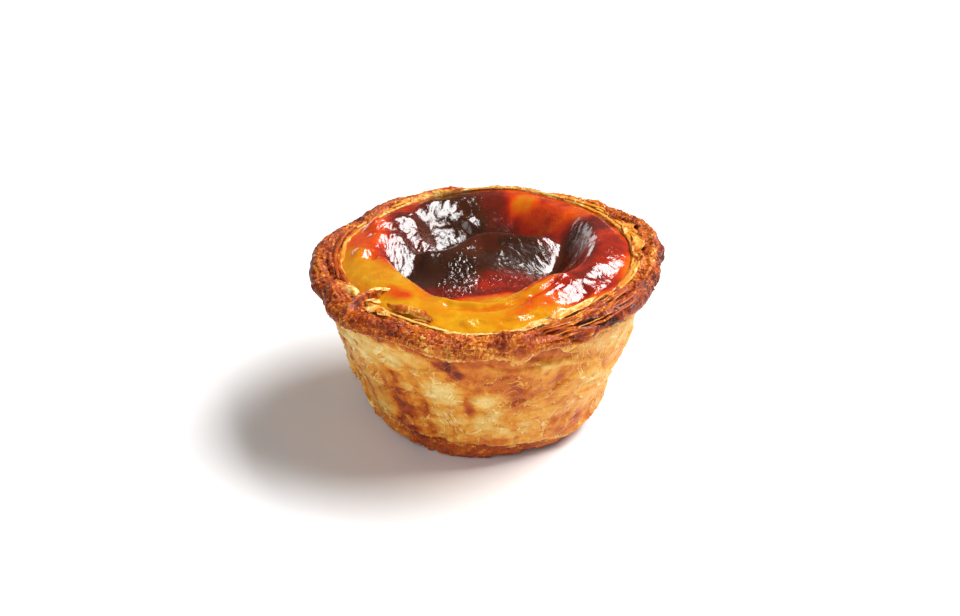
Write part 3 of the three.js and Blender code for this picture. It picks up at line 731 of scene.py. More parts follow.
# Torn scraps that stand clear of the rim: path, half widths along it, thickness, roll of each end, cupping,
# ragged edge, how baked.
tornScraps = {
    "flap": {
        "path": [
            (-27.4, -23.4, 32.9), (-26.4, -21.2, 34.3), (-25.0, -18.6, 35.0),
            (-22.9, -16.4, 35.1), (-20.4, -14.8, 34.7),
        ],
        "halfWidths": [1.3, 1.7, 1.5, 1.1, 0.4], "thickness": 1.4,
        "roll": (-8, 18), "cup": -0.9, "ragged": 0.3, "bake": 0.7,
    },
    "flapTip": {
        "path": [(-23.4, -16.4, 35.0), (-21.4, -15.0, 35.2), (-19.6, -13.7, 34.8), (-18.3, -13.0, 34.4)],
        "halfWidths": [0.5, 0.6, 0.45, 0.3], "thickness": 0.4,
        "roll": (20, 35), "cup": 0.1, "ragged": 0.3, "bake": 0.16,
    },
    "flapUnder": {
        "path": [(-24.0, -20.2, 33.8), (-22.2, -20.6, 34.1), (-20.4, -21.8, 34.2), (-18.4, -23.4, 34.0)],
        "halfWidths": [0.7, 1.1, 1.0, 0.5], "thickness": 0.4,
        "roll": (10, -5), "cup": 0.25, "ragged": 0.6, "bake": 0.26,
    },
    "flapShardOne": {
        "path": [(-23.4, -18.4, 34.6), (-21.8, -18.6, 34.9), (-20.2, -19.6, 34.8)],
        "halfWidths": [0.4, 0.8, 0.3], "thickness": 0.3,
        "roll": (-15, 20), "cup": 0.2, "ragged": 0.6, "bake": 0.2,
    },
    "flapShardTwo": {
        "path": [(-22.6, -22.4, 34.3), (-20.6, -22.6, 34.7), (-18.4, -24.4, 34.4)],
        "halfWidths": [0.3, 0.8, 0.3], "thickness": 0.3,
        "roll": (25, 5), "cup": 0.2, "ragged": 0.6, "bake": 0.3,
    },
    "streak": {
        "path": [
            (-19.0, -19.2, 34.2), (-16.6, -20.9, 34.7), (-13.8, -22.6, 34.9),
            (-11.6, -24.2, 34.7), (-10.0, -25.4, 34.3),
        ],
        "halfWidths": [0.7, 1.2, 1.3, 1.1, 0.6], "thickness": 0.9,
        "roll": (5, 12), "cup": -0.3, "ragged": 0.14, "bake": 0.5,
    },
    "streakTail": {
        "path": [(-14.0, -24.2, 33.7), (-12.0, -24.6, 33.9), (-10.4, -25.6, 33.8)],
        "halfWidths": [0.4, 0.6, 0.4], "thickness": 0.35,
        "roll": (5, 20), "cup": 0.1, "ragged": 0.35, "bake": 0.5,
    },
    "creamCurl": {
        "path": [(-28.0, -10.6, 33.7), (-26.9, -12.2, 34.3), (-25.9, -13.8, 34.6), (-25.7, -15.4, 34.4)],
        "halfWidths": [0.5, 1.0, 1.0, 0.5], "thickness": 0.9,
        "roll": (5, 10), "cup": -0.4, "ragged": 0.6, "bake": 0.2,
    },
    "knob": {
        "path": [(3.4, -31.8, 34.0), (5.0, -32.6, 34.6), (7.0, -32.9, 34.7), (8.6, -32.3, 34.1)],
        "halfWidths": [0.8, 1.6, 1.5, 0.7], "thickness": 1.3,
        "roll": (0, 0), "cup": -0.4, "ragged": 0.3, "bake": 0.68,
    },
    "layerNearRight": {
        "path": [
            (14.6, -28.0, 34.8), (17.8, -27.4, 35.8), (21.0, -25.8, 36.5),
            (24.2, -23.4, 36.7), (26.6, -20.8, 36.5),
        ],
        "halfWidths": [0.4, 0.8, 0.9, 0.7, 0.3], "thickness": 0.8,
        "roll": (20, 15), "cup": -0.5, "ragged": 0.1, "bake": 0.56,
    },
    "paleCurlOne": {
        "path": [(8.2, -28.8, 34.0), (9.6, -28.2, 34.7), (11.2, -27.6, 34.9)],
        "halfWidths": [0.4, 0.8, 0.3], "thickness": 0.28,
        "roll": (70, 55), "cup": 0.3, "ragged": 0.35, "bake": 0.12,
    },
    "paleCurlTwo": {
        "path": [(10.4, -27.4, 34.3), (12.0, -26.8, 35.0), (13.8, -25.8, 35.2)],
        "halfWidths": [0.4, 0.8, 0.3], "thickness": 0.28,
        "roll": (65, 75), "cup": 0.3, "ragged": 0.35, "bake": 0.14,
    },
    "paleCurlThree": {
        "path": [(12.8, -26.2, 34.6), (14.6, -25.2, 35.3), (16.6, -23.8, 35.4)],
        "halfWidths": [0.3, 0.8, 0.3], "thickness": 0.28,
        "roll": (60, 50), "cup": 0.25, "ragged": 0.35, "bake": 0.16,
    },
    "fanOne": {
        "path": [(6.6, -30.6, 34.4), (9.0, -28.9, 35.0), (11.6, -27.2, 35.1), (13.2, -25.6, 34.9)],
        "halfWidths": [0.3, 0.55, 0.5, 0.2], "thickness": 0.25,
        "roll": (30, 50), "cup": 0.15, "ragged": 0.4, "bake": 0.26,
    },
    "fanTwo": {
        "path": [(11.4, -28.6, 35.0), (14.0, -26.6, 35.6), (16.6, -24.2, 35.8), (18.6, -21.9, 35.7)],
        "halfWidths": [0.3, 0.6, 0.5, 0.2], "thickness": 0.25,
        "roll": (35, 25), "cup": 0.15, "ragged": 0.4, "bake": 0.26,
    },
    "fanThree": {
        "path": [(14.4, -27.4, 35.5), (17.2, -25.0, 36.2), (19.8, -22.4, 36.4), (21.8, -19.6, 36.3)],
        "halfWidths": [0.3, 0.6, 0.6, 0.2], "thickness": 0.25,
        "roll": (20, 40), "cup": 0.15, "ragged": 0.35, "bake": 0.26,
    },
    "triangleRight": {
        "path": [(29.6, 13.0, 36.0), (29.8, 10.4, 36.9), (29.4, 7.8, 37.5), (28.8, 5.4, 37.3)],
        "halfWidths": [0.8, 1.5, 1.1, 0.4], "thickness": 0.4,
        "roll": (4, 2), "cup": 0.2, "ragged": 0.12, "bake": 0.46,
    },
    "foldRight": {
        "path": [(30.8, 6.0, 37.2), (31.2, 2.6, 37.8), (31.0, -1.0, 37.8), (30.2, -4.4, 37.4)],
        "halfWidths": [0.5, 1.2, 1.2, 0.5], "thickness": 0.5,
        "roll": (-10, 10), "cup": 0.3, "ragged": 0.25, "bake": 0.42,
    },
}


# How every scrap is made: the sizes in mm of its torn edge, lumps, grooves and wave, how strong each is, and
# how much browner or paler it makes the dough; the paler lumps and grooves are a painted highlight.
scrapShape = {
    "steps": 12,
    "corners": 40,
    "edgeThinness": 0.7,
    "fray": {"size": 1.9, "strength": 1.6},
    "lumps": {"size": 1.2, "strength": 0.5, "bake": -0.3},
    "grooves": {"size": 0.5, "strength": 0.12, "bake": -0.22},
    "wave": {"size": 1.8, "strength": 0.22},
    "shades": {"size": 2.4, "bake": 0.1},
    "edgeBake": -0.12,
    "sandy": 0.8,
}


def scrapPart(scrap, seed):
    # a thin closed strip along a path, thickest in the middle, with a frayed edge
    fraying, lumping, grooving = scrapShape["fray"], scrapShape["lumps"], scrapShape["grooves"]
    wave, shades = scrapShape["wave"], scrapShape["shades"]
    path = smoothPath(scrap["path"], scrapShape["steps"])
    lengths = np.concatenate([[0], np.cumsum(np.linalg.norm(np.diff(path, axis=0), axis=1))])
    share = lengths / lengths[-1]
    along = np.gradient(path, axis=0)
    along = along / np.linalg.norm(along, axis=1)[:, None]
    side = np.cross(np.array([0, 0, 1.0]), along)
    side = side / np.linalg.norm(side, axis=1)[:, None]
    up = np.cross(along, side)
    roll = np.radians(mixed(*scrap["roll"], share))[:, None]
    side, up = side * np.cos(roll) + up * np.sin(roll), up * np.cos(roll) - side * np.sin(roll)
    turn = np.linspace(0, tau, scrapShape["corners"], endpoint=False)
    across, through = np.cos(turn), np.sin(turn)
    half = np.interp(share, np.linspace(0, 1, len(scrap["halfWidths"])), scrap["halfWidths"])[:, None]
    half = half * np.sqrt(np.clip(4 * np.minimum(share, 1 - share), 0.04, 1))[:, None] ** 0.6
    place = lengths[:, None] + 0 * across
    # each edge of the strip is torn in its own way
    bothEdges = place + 9 * np.sign(across)
    fray = layeredFlat(bothEdges, 40 * seed + 0 * place, fraying["size"], 700 + seed, 4)
    wide = half * (1 + scrap["ragged"] * fraying["strength"] * fray) * across
    lumps = layeredFlat(place, wide + 30 * seed, lumping["size"], 720 + seed, 3)
    grooves = layeredFlat(place / 4, wide + 30 * seed, grooving["size"], 780 + seed, 2)
    thick = scrap["thickness"] / 2 * (1 - scrapShape["edgeThinness"] * across ** 2)
    thick = thick * (1 + lumping["strength"] * lumps) + grooving["strength"] * grooves
    lift = scrap["cup"] * (across ** 2) + thick * through
    lift = lift + wave["strength"] * layeredFlat(place, wide, wave["size"], 740 + seed, 2)
    points = path[:, None] + side[:, None] * wide[..., None] + up[:, None] * lift[..., None]
    # lumps and grooves make the dough paler where they thicken it, a painted highlight on the raised parts
    bake = scrap["bake"] + lumping["bake"] * lumps + grooving["bake"] * grooves
    bake = bake + shades["bake"] * layeredFlat(place, wide, shades["size"], 760 + seed, 2)
    bake = bake + scrapShape["edgeBake"] * across ** 4
    values = {"bake": bake, "sandy": scrapShape["sandy"] + 0 * bake}
    return (points[..., 0], points[..., 1], points[..., 2], values, [path[0], path[-1]])


def makeScraps():
    parts = [scrapPart(scrap, number) for number, scrap in enumerate(tornScraps.values())]
    return meshFromRings("tornScraps", parts)


# Geometry Nodes: layers along the inside of the rim, slivers over the rim, and flakes on the wall.

def newTree(name, inputs):
    tree = bpy.data.node_groups.new(name, "GeometryNodeTree")
    for label, kind in {"Geometry": "NodeSocketGeometry", **inputs}.items():
        tree.interface.new_socket(label, in_out="INPUT", socket_type=kind)
    tree.interface.new_socket("Geometry", in_out="OUTPUT", socket_type="NodeSocketGeometry")
    entry, leave = tree.nodes.new("NodeGroupInput"), tree.nodes.new("NodeGroupOutput")
    return tree, entry.outputs, leave.inputs


def addNode(tree, kind, inputs=None, **settings):
    # a node with its settings, and with its inputs linked to sockets or set to values
    node = tree.nodes.new(kind)
    for key, value in settings.items():
        setattr(node, key, value)
    for key, value in (inputs or {}).items():
        socket = node.inputs[key]
        if isinstance(value, bpy.types.NodeSocket):
            tree.links.new(value, socket)
        else:
            socket.default_value = value
    return node


def namedValue(tree, name):
    # a value that the mesh carries
    node = addNode(tree, "GeometryNodeInputNamedAttribute", {"Name": name}, data_type="FLOAT")
    return node.outputs["Attribute"]


def anyFrom(tree, lowest, highest, seed):
    # a different number for each flake; sockets 2 and 3 are this node's limits for one number
    node = addNode(tree, "FunctionNodeRandomValue", {2: lowest, 3: highest, "Seed": seed}, data_type="FLOAT")
    return node.outputs[1]


def finishTree(tree, geometry, material, leave):
    # instances made real, in their material
    whole = addNode(tree, "GeometryNodeRealizeInstances", {"Geometry": geometry})
    dressed = addNode(tree, "GeometryNodeSetMaterial", {"Geometry": whole.outputs[0], "Material": material})
    tree.links.new(dressed.outputs["Geometry"], leave)


def builtByNodes(name, source, tree, settings):
    # runs the tree over the source once, and keeps the outcome as a plain mesh
    modifier = source.modifiers.new("tree", "NODES")
    modifier.node_group = tree
    sockets = [item for item in tree.interface.items_tree if item.in_out == "INPUT"]
    identifiers = {socket.name: socket.identifier for socket in sockets}
    for label, value in settings.items():
        modifier[identifiers[label]] = value
    bpy.context.view_layer.update()
    evaluated = source.evaluated_get(bpy.context.evaluated_depsgraph_get())
    mesh = bpy.data.meshes.new_from_object(evaluated)
    mesh.name = name
    piece = addObject(name, mesh)
    bpy.data.objects.remove(source)
    return piece


# Layers of dough along the rim: from and to (degrees), where they lie (-1 the outer side, 0 the crest, 1 the
# custard's edge), rise, half width, how baked.
laminations = {
    "noiseScale": 900,
    "wander": 0.35,
    "step": 0.45,
    "flatness": 0.4,  # height of each layer's section as a share of its width
    "corners": 8,
    "taperShare": 0.12,
    "endWidth": 0.25,
    "degreesApart": 0.45,
    # each layer's slow wave: patches round the cup, and how much it moves, widens and browns the layer
    "wave": {"patches": 60, "place": 0.09, "width": 0.5, "bake": 0.12},
    # where it is torn away: patches round the cup, and how low the noise has to fall
    "gaps": {"patches": 22, "level": -0.28},
    "runs": [
        (146, 208, [0.95], 0.1, 0.4, 0.34),
        (150, 206, [0.84], 0.16, 0.34, 0.56),
        (144, 200, [0.74], 0.06, 0.3, 0.8),
        (148, 204, [0.63], 0.18, 0.32, 0.56),
        (140, 196, [0.52], 0.05, 0.3, 0.78),
        (222, 250, [0.7, 0.84], 0.15, 0.3, 0.24),
        (248, 286, [0.6, 0.7, 0.79, 0.88, 0.96], 0.22, 0.2, 0.12),
        (250, 280, [0.65, 0.84], 0.1, 0.12, 0.6),
        (281, 324, [0.84, 0.94, 1.02], 0.42, 0.24, 0.2),
        (284, 316, [1.1], 0.5, 0.18, 0.14),
        (286, 326, [0.76, 0.9, 0.99], 0.5, 0.13, 0.6),
        (290, 328, [-0.66, -0.42, -0.2, 0.04, 0.28, 0.5], 0.28, 0.46, 0.6),
        (292, 322, [-0.54, -0.08, 0.4], 0.46, 0.13, 0.34),
        (326, 374, [0.5, 0.68, 0.9], 0.2, 0.42, 0.36),
        (330, 370, [0.58, 0.78], 0.12, 0.2, 0.66),
        (8, 62, [0.54, 0.76, 0.93], 0.16, 0.4, 0.36),
        (12, 56, [0.58, 0.73], 0.1, 0.2, 0.66),
        (60, 118, [0.66, 0.82], 0.15, 0.3, 0.22),
        (118, 150, [0.6, 0.8], 0.15, 0.32, 0.28),
    ],
}


def laminationPaths():
    # polylines along the rim, broken into shorter lengths
    points, edges, bakes, sizes = [], [], [], []
    last = math.radians(cup["rimInnerDegrees"])
    waving, gaps = laminations["wave"], laminations["gaps"]
    for number, (start, end, places, rise, half, bake) in enumerate(laminations["runs"]):
        for place in places:
            seed = number + int(100 * place)
            angle = np.radians(np.arange(start, end, laminations["degreesApart"]))
            wave = layeredRound(angle, 0 * angle, waving["patches"], 1, 600 + seed, 3)
            inward = place + waving["place"] * wave
            turn = np.arcsin(np.clip(inward, 0, 1) * math.sin(last))
            crest, inset = rimCrest(angle)
            down = (1 - np.cos(turn)) / (1 - math.cos(last))
            radius = mixed(crest, custardEdge(angle), np.maximum(inward, 0))
            height = mixed(cup["rimCrestHeight"] + rimLift(angle), custardEdgeHeight(angle, 1), down) + rise
            over = math.pi / 2 * (1 + np.clip(inward, -1, 0))
            radius = radius + (inset + rise) * np.cos(over)
            height = height - (cup["rimCrestHeight"] - cup["rimOuterHeight"]) * (1 - np.sin(over))
            kept = layeredRound(angle, 0 * angle, gaps["patches"], 1, 650 + seed, 2) > gaps["level"]
            first = len(points)
            points += np.stack([radius * np.cos(angle), radius * np.sin(angle), height], axis=-1).tolist()
            bakes += (bake + waving["bake"] * wave).tolist()
            sizes += (half * (1 + waving["width"] * wave)).tolist()
            edges += [(first + k, first + k + 1) for k in range(len(angle) - 1) if kept[k] and kept[k + 1]]
    mesh = bpy.data.meshes.new("laminationPaths")
    mesh.from_pydata(((np.array(points) + axisOffset) * mm).tolist(), edges, [])
    carry(mesh, "bake", bakes)
    carry(mesh, "width", sizes)
    return addObject("laminationPaths", mesh)


def laminationTree():
    tree, entry, leave = newTree("laminationTree", {
        "Noise Scale": "NodeSocketFloat", "Wander": "NodeSocketFloat", "Step": "NodeSocketFloat",
        "Thickness": "NodeSocketFloat", "Material": "NodeSocketMaterial",
    })
    curve = addNode(tree, "GeometryNodeMeshToCurve", {"Mesh": entry["Geometry"]}).outputs["Curve"]
    curve = addNode(tree, "GeometryNodeResampleCurve", {
        "Curve": curve, "Length": entry["Step"],
    }, mode="LENGTH")
    noise = addNode(tree, "ShaderNodeTexNoise", {"Scale": entry["Noise Scale"], "Detail": 2.0})
    middle = {0: noise.outputs["Color"], 1: (0.5, 0.5, 0.5)}
    centred = addNode(tree, "ShaderNodeVectorMath", middle, operation="SUBTRACT")
    offset = addNode(tree, "ShaderNodeVectorMath", {
        0: centred.outputs[0], "Scale": entry["Wander"],
    }, operation="SCALE")
    moved = addNode(tree, "GeometryNodeSetPosition", {
        "Geometry": curve.outputs["Curve"], "Offset": offset.outputs[0],
    })
    upright = addNode(tree, "GeometryNodeSetCurveNormal", {"Curve": moved.outputs["Geometry"]}, mode="Z_UP")
    # taper each length at both ends
    share = addNode(tree, "GeometryNodeSplineParameter").outputs["Factor"]
    rest = addNode(tree, "ShaderNodeMath", {0: 1.0, 1: share}, operation="SUBTRACT").outputs[0]
    nearEnd = addNode(tree, "ShaderNodeMath", {0: share, 1: rest}, operation="MINIMUM").outputs[0]
    taper = addNode(tree, "ShaderNodeMapRange", {
        "Value": nearEnd, "From Max": laminations["taperShare"], "To Min": laminations["endWidth"],
    })
    width = namedValue(tree, "width")
    size = addNode(tree, "ShaderNodeMath", {0: width, 1: taper.outputs["Result"]}, operation="MULTIPLY")
    ring = addNode(tree, "GeometryNodeCurvePrimitiveCircle", {
        "Resolution": laminations["corners"], "Radius": mm,
    })
    flat = addNode(tree, "ShaderNodeCombineXYZ", {"X": 1.0, "Y": entry["Thickness"], "Z": 1.0})
    profile = addNode(tree, "GeometryNodeTransform", {
        "Geometry": ring.outputs["Curve"], "Scale": flat.outputs["Vector"],
    })
    swept = addNode(tree, "GeometryNodeCurveToMesh", {
        "Curve": upright.outputs["Curve"], "Profile Curve": profile.outputs["Geometry"],
        "Scale": size.outputs[0], "Fill Caps": True,
    })
    finishTree(tree, swept.outputs["Mesh"], entry["Material"], leave["Geometry"])
    return tree


def makeLaminations(material):
    return builtByNodes("rimLaminations", laminationPaths(), laminationTree(), {
        "Noise Scale": laminations["noiseScale"], "Wander": laminations["wander"] * mm,
        "Step": laminations["step"] * mm, "Thickness": laminations["flatness"], "Material": material,
    })


# Loose flakes: how many per square metre, least distance and size range in mm, tilt and spin in degrees, how
# their baking differs from the dough under them.
looseFlakes = {
    "rimSlivers": {
        "density": 9e5, "apart": 0.5, "sizes": (0.4, 1.0), "tilt": 12, "spin": 32,
        "bakes": (-0.14, 0.1), "seed": 3,
    },
    "wallFlakes": {
        "density": 1.6e5, "apart": 1.3, "sizes": (0.7, 1.6), "tilt": 2, "spin": 80,
        "bakes": (-0.03, 0.06), "seed": 12,
    },
}
flakeShapes = {
    "count": 5, "corners": 9, "reach": (0.62, 1.15), "slimness": 0.5, "slimnessSpread": (0.6, 1.3),
    "thickness": 0.13, "curl": 0.07, "curlSpread": (0.2, 1.6), "twist": (-0.25, 0.25), "seed": 11,
}


def makeFlakeShapes():
    # a few thin closed leaves about one unit long, with torn outlines and raised ends
    shapes = bpy.data.collections.new("flakeShapes")
    random = np.random.default_rng(flakeShapes["seed"])
    corners = flakeShapes["corners"]
    turn = np.arange(corners) / corners * tau
    for number in range(flakeShapes["count"]):
        reach = random.uniform(*flakeShapes["reach"], corners)
        slim = flakeShapes["slimness"] * random.uniform(*flakeShapes["slimnessSpread"])
        curl = flakeShapes["curl"] * random.uniform(*flakeShapes["curlSpread"])
        twist = random.uniform(*flakeShapes["twist"])
        points = []
        for share, through in ((0, 1), (0.6, 0.9), (1, 0), (0.6, -0.9), (0, -1)):
            x, y = share * reach * np.cos(turn), share * reach * slim * np.sin(turn)
            z = curl * x ** 2 + twist * x * y + through * flakeShapes["thickness"] / 2
            ring = np.stack([x, y, z], axis=-1)
            points += ring[:1].tolist() if share == 0 else ring.tolist()
        rings = [1 + corners * k + np.arange(corners) for k in range(3)]
        last = len(points) - 1
        faces = []
        for k in range(corners):
            after = (k + 1) % corners
            faces.append((0, int(rings[0][k]), int(rings[0][after])))
            faces.append((last, int(rings[2][after]), int(rings[2][k])))
            for upper, lower in zip(rings, rings[1:]):
                faces.append((int(upper[k]), int(lower[k]), int(lower[after]), int(upper[after])))
        mesh = bpy.data.meshes.new(f"flakeShape{number}")
        mesh.from_pydata(points, [], faces)
        shapes.objects.link(bpy.data.objects.new(f"flakeShape{number}", mesh))
    return shapes


def flakeTree():
    tree, entry, leave = newTree("flakeTree", {
        "Shapes": "NodeSocketCollection", "Apart": "NodeSocketFloat", "Density": "NodeSocketFloat",
        "Smallest": "NodeSocketFloat", "Largest": "NodeSocketFloat", "Tilt": "NodeSocketFloat",
        "Spin": "NodeSocketFloat", "Palest": "NodeSocketFloat", "Darkest": "NodeSocketFloat",
        "Seed": "NodeSocketInt", "Material": "NodeSocketMaterial",
    })
    flaky = namedValue(tree, "flaky")
    spread = addNode(tree, "GeometryNodeDistributePointsOnFaces", {
        "Mesh": entry["Geometry"], "Distance Min": entry["Apart"], "Density Max": entry["Density"],
        "Density Factor": flaky, "Seed": entry["Seed"],
    }, distribute_method="POISSON")
    # lay each flake along the rim and flat on the dough, then tilt and spin it a little
    place = addNode(tree, "GeometryNodeInputPosition").outputs["Position"]
    around = addNode(tree, "ShaderNodeVectorMath", {0: (0, 0, 1), 1: place}, operation="CROSS_PRODUCT")
    along = addNode(tree, "FunctionNodeAlignRotationToVector", {"Vector": around.outputs[0]}, axis="X")
    flat = addNode(tree, "FunctionNodeAlignRotationToVector", {
        "Rotation": along.outputs["Rotation"], "Vector": spread.outputs["Normal"],
    }, axis="Z", pivot_axis="X")
    limits = addNode(tree, "ShaderNodeCombineXYZ", {
        "X": entry["Tilt"], "Y": entry["Tilt"], "Z": entry["Spin"],
    })
    lower = addNode(tree, "ShaderNodeVectorMath", {0: limits.outputs[0], "Scale": -1}, operation="SCALE")
    turn = addNode(tree, "FunctionNodeRandomValue", {
        0: lower.outputs[0], 1: limits.outputs[0], "Seed": 21,
    }, data_type="FLOAT_VECTOR")
    euler = addNode(tree, "FunctionNodeEulerToRotation", {"Euler": turn.outputs[0]})
    turned = addNode(tree, "FunctionNodeRotateRotation", {
        "Rotation": flat.outputs["Rotation"], "Rotate By": euler.outputs["Rotation"],
    }, rotation_space="LOCAL")
    size = anyFrom(tree, entry["Smallest"], entry["Largest"], 22)
    # sockets 4 and 5 are its limits for a whole number
    lastKind = flakeShapes["count"] - 1
    kind = addNode(tree, "FunctionNodeRandomValue", {4: 0, 5: lastKind, "Seed": 23}, data_type="INT")
    shapes = addNode(tree, "GeometryNodeCollectionInfo", {
        "Collection": entry["Shapes"], "Separate Children": True,
    })
    flakes = addNode(tree, "GeometryNodeInstanceOnPoints", {
        "Points": spread.outputs["Points"], "Instance": shapes.outputs[0], "Pick Instance": True,
        "Instance Index": kind.outputs[2], "Rotation": turned.outputs["Rotation"], "Scale": size,
    })
    under = namedValue(tree, "bake")
    change = anyFrom(tree, entry["Palest"], entry["Darkest"], 24)
    shade = addNode(tree, "ShaderNodeMath", {0: under, 1: change}, operation="ADD")
    marked = addNode(tree, "GeometryNodeStoreNamedAttribute", {
        "Geometry": flakes.outputs["Instances"], "Name": "bake", "Value": shade.outputs[0],
    }, data_type="FLOAT", domain="INSTANCE")
    finishTree(tree, marked.outputs["Geometry"], entry["Material"], leave["Geometry"])
    return tree


def makeFlakes(name, surface, shapes, tree, material):
    look = looseFlakes[name]
    source = addObject(name + "Source", surface.data.copy())
    return builtByNodes(name, source, tree, {
        "Shapes": shapes, "Apart": look["apart"] * mm, "Density": float(look["density"]),
        "Smallest": look["sizes"][0] * mm, "Largest": look["sizes"][1] * mm,
        "Tilt": math.radians(look["tilt"]), "Spin": math.radians(look["spin"]),
        "Palest": look["bakes"][0], "Darkest": look["bakes"][1], "Seed": look["seed"], "Material": material,
    })


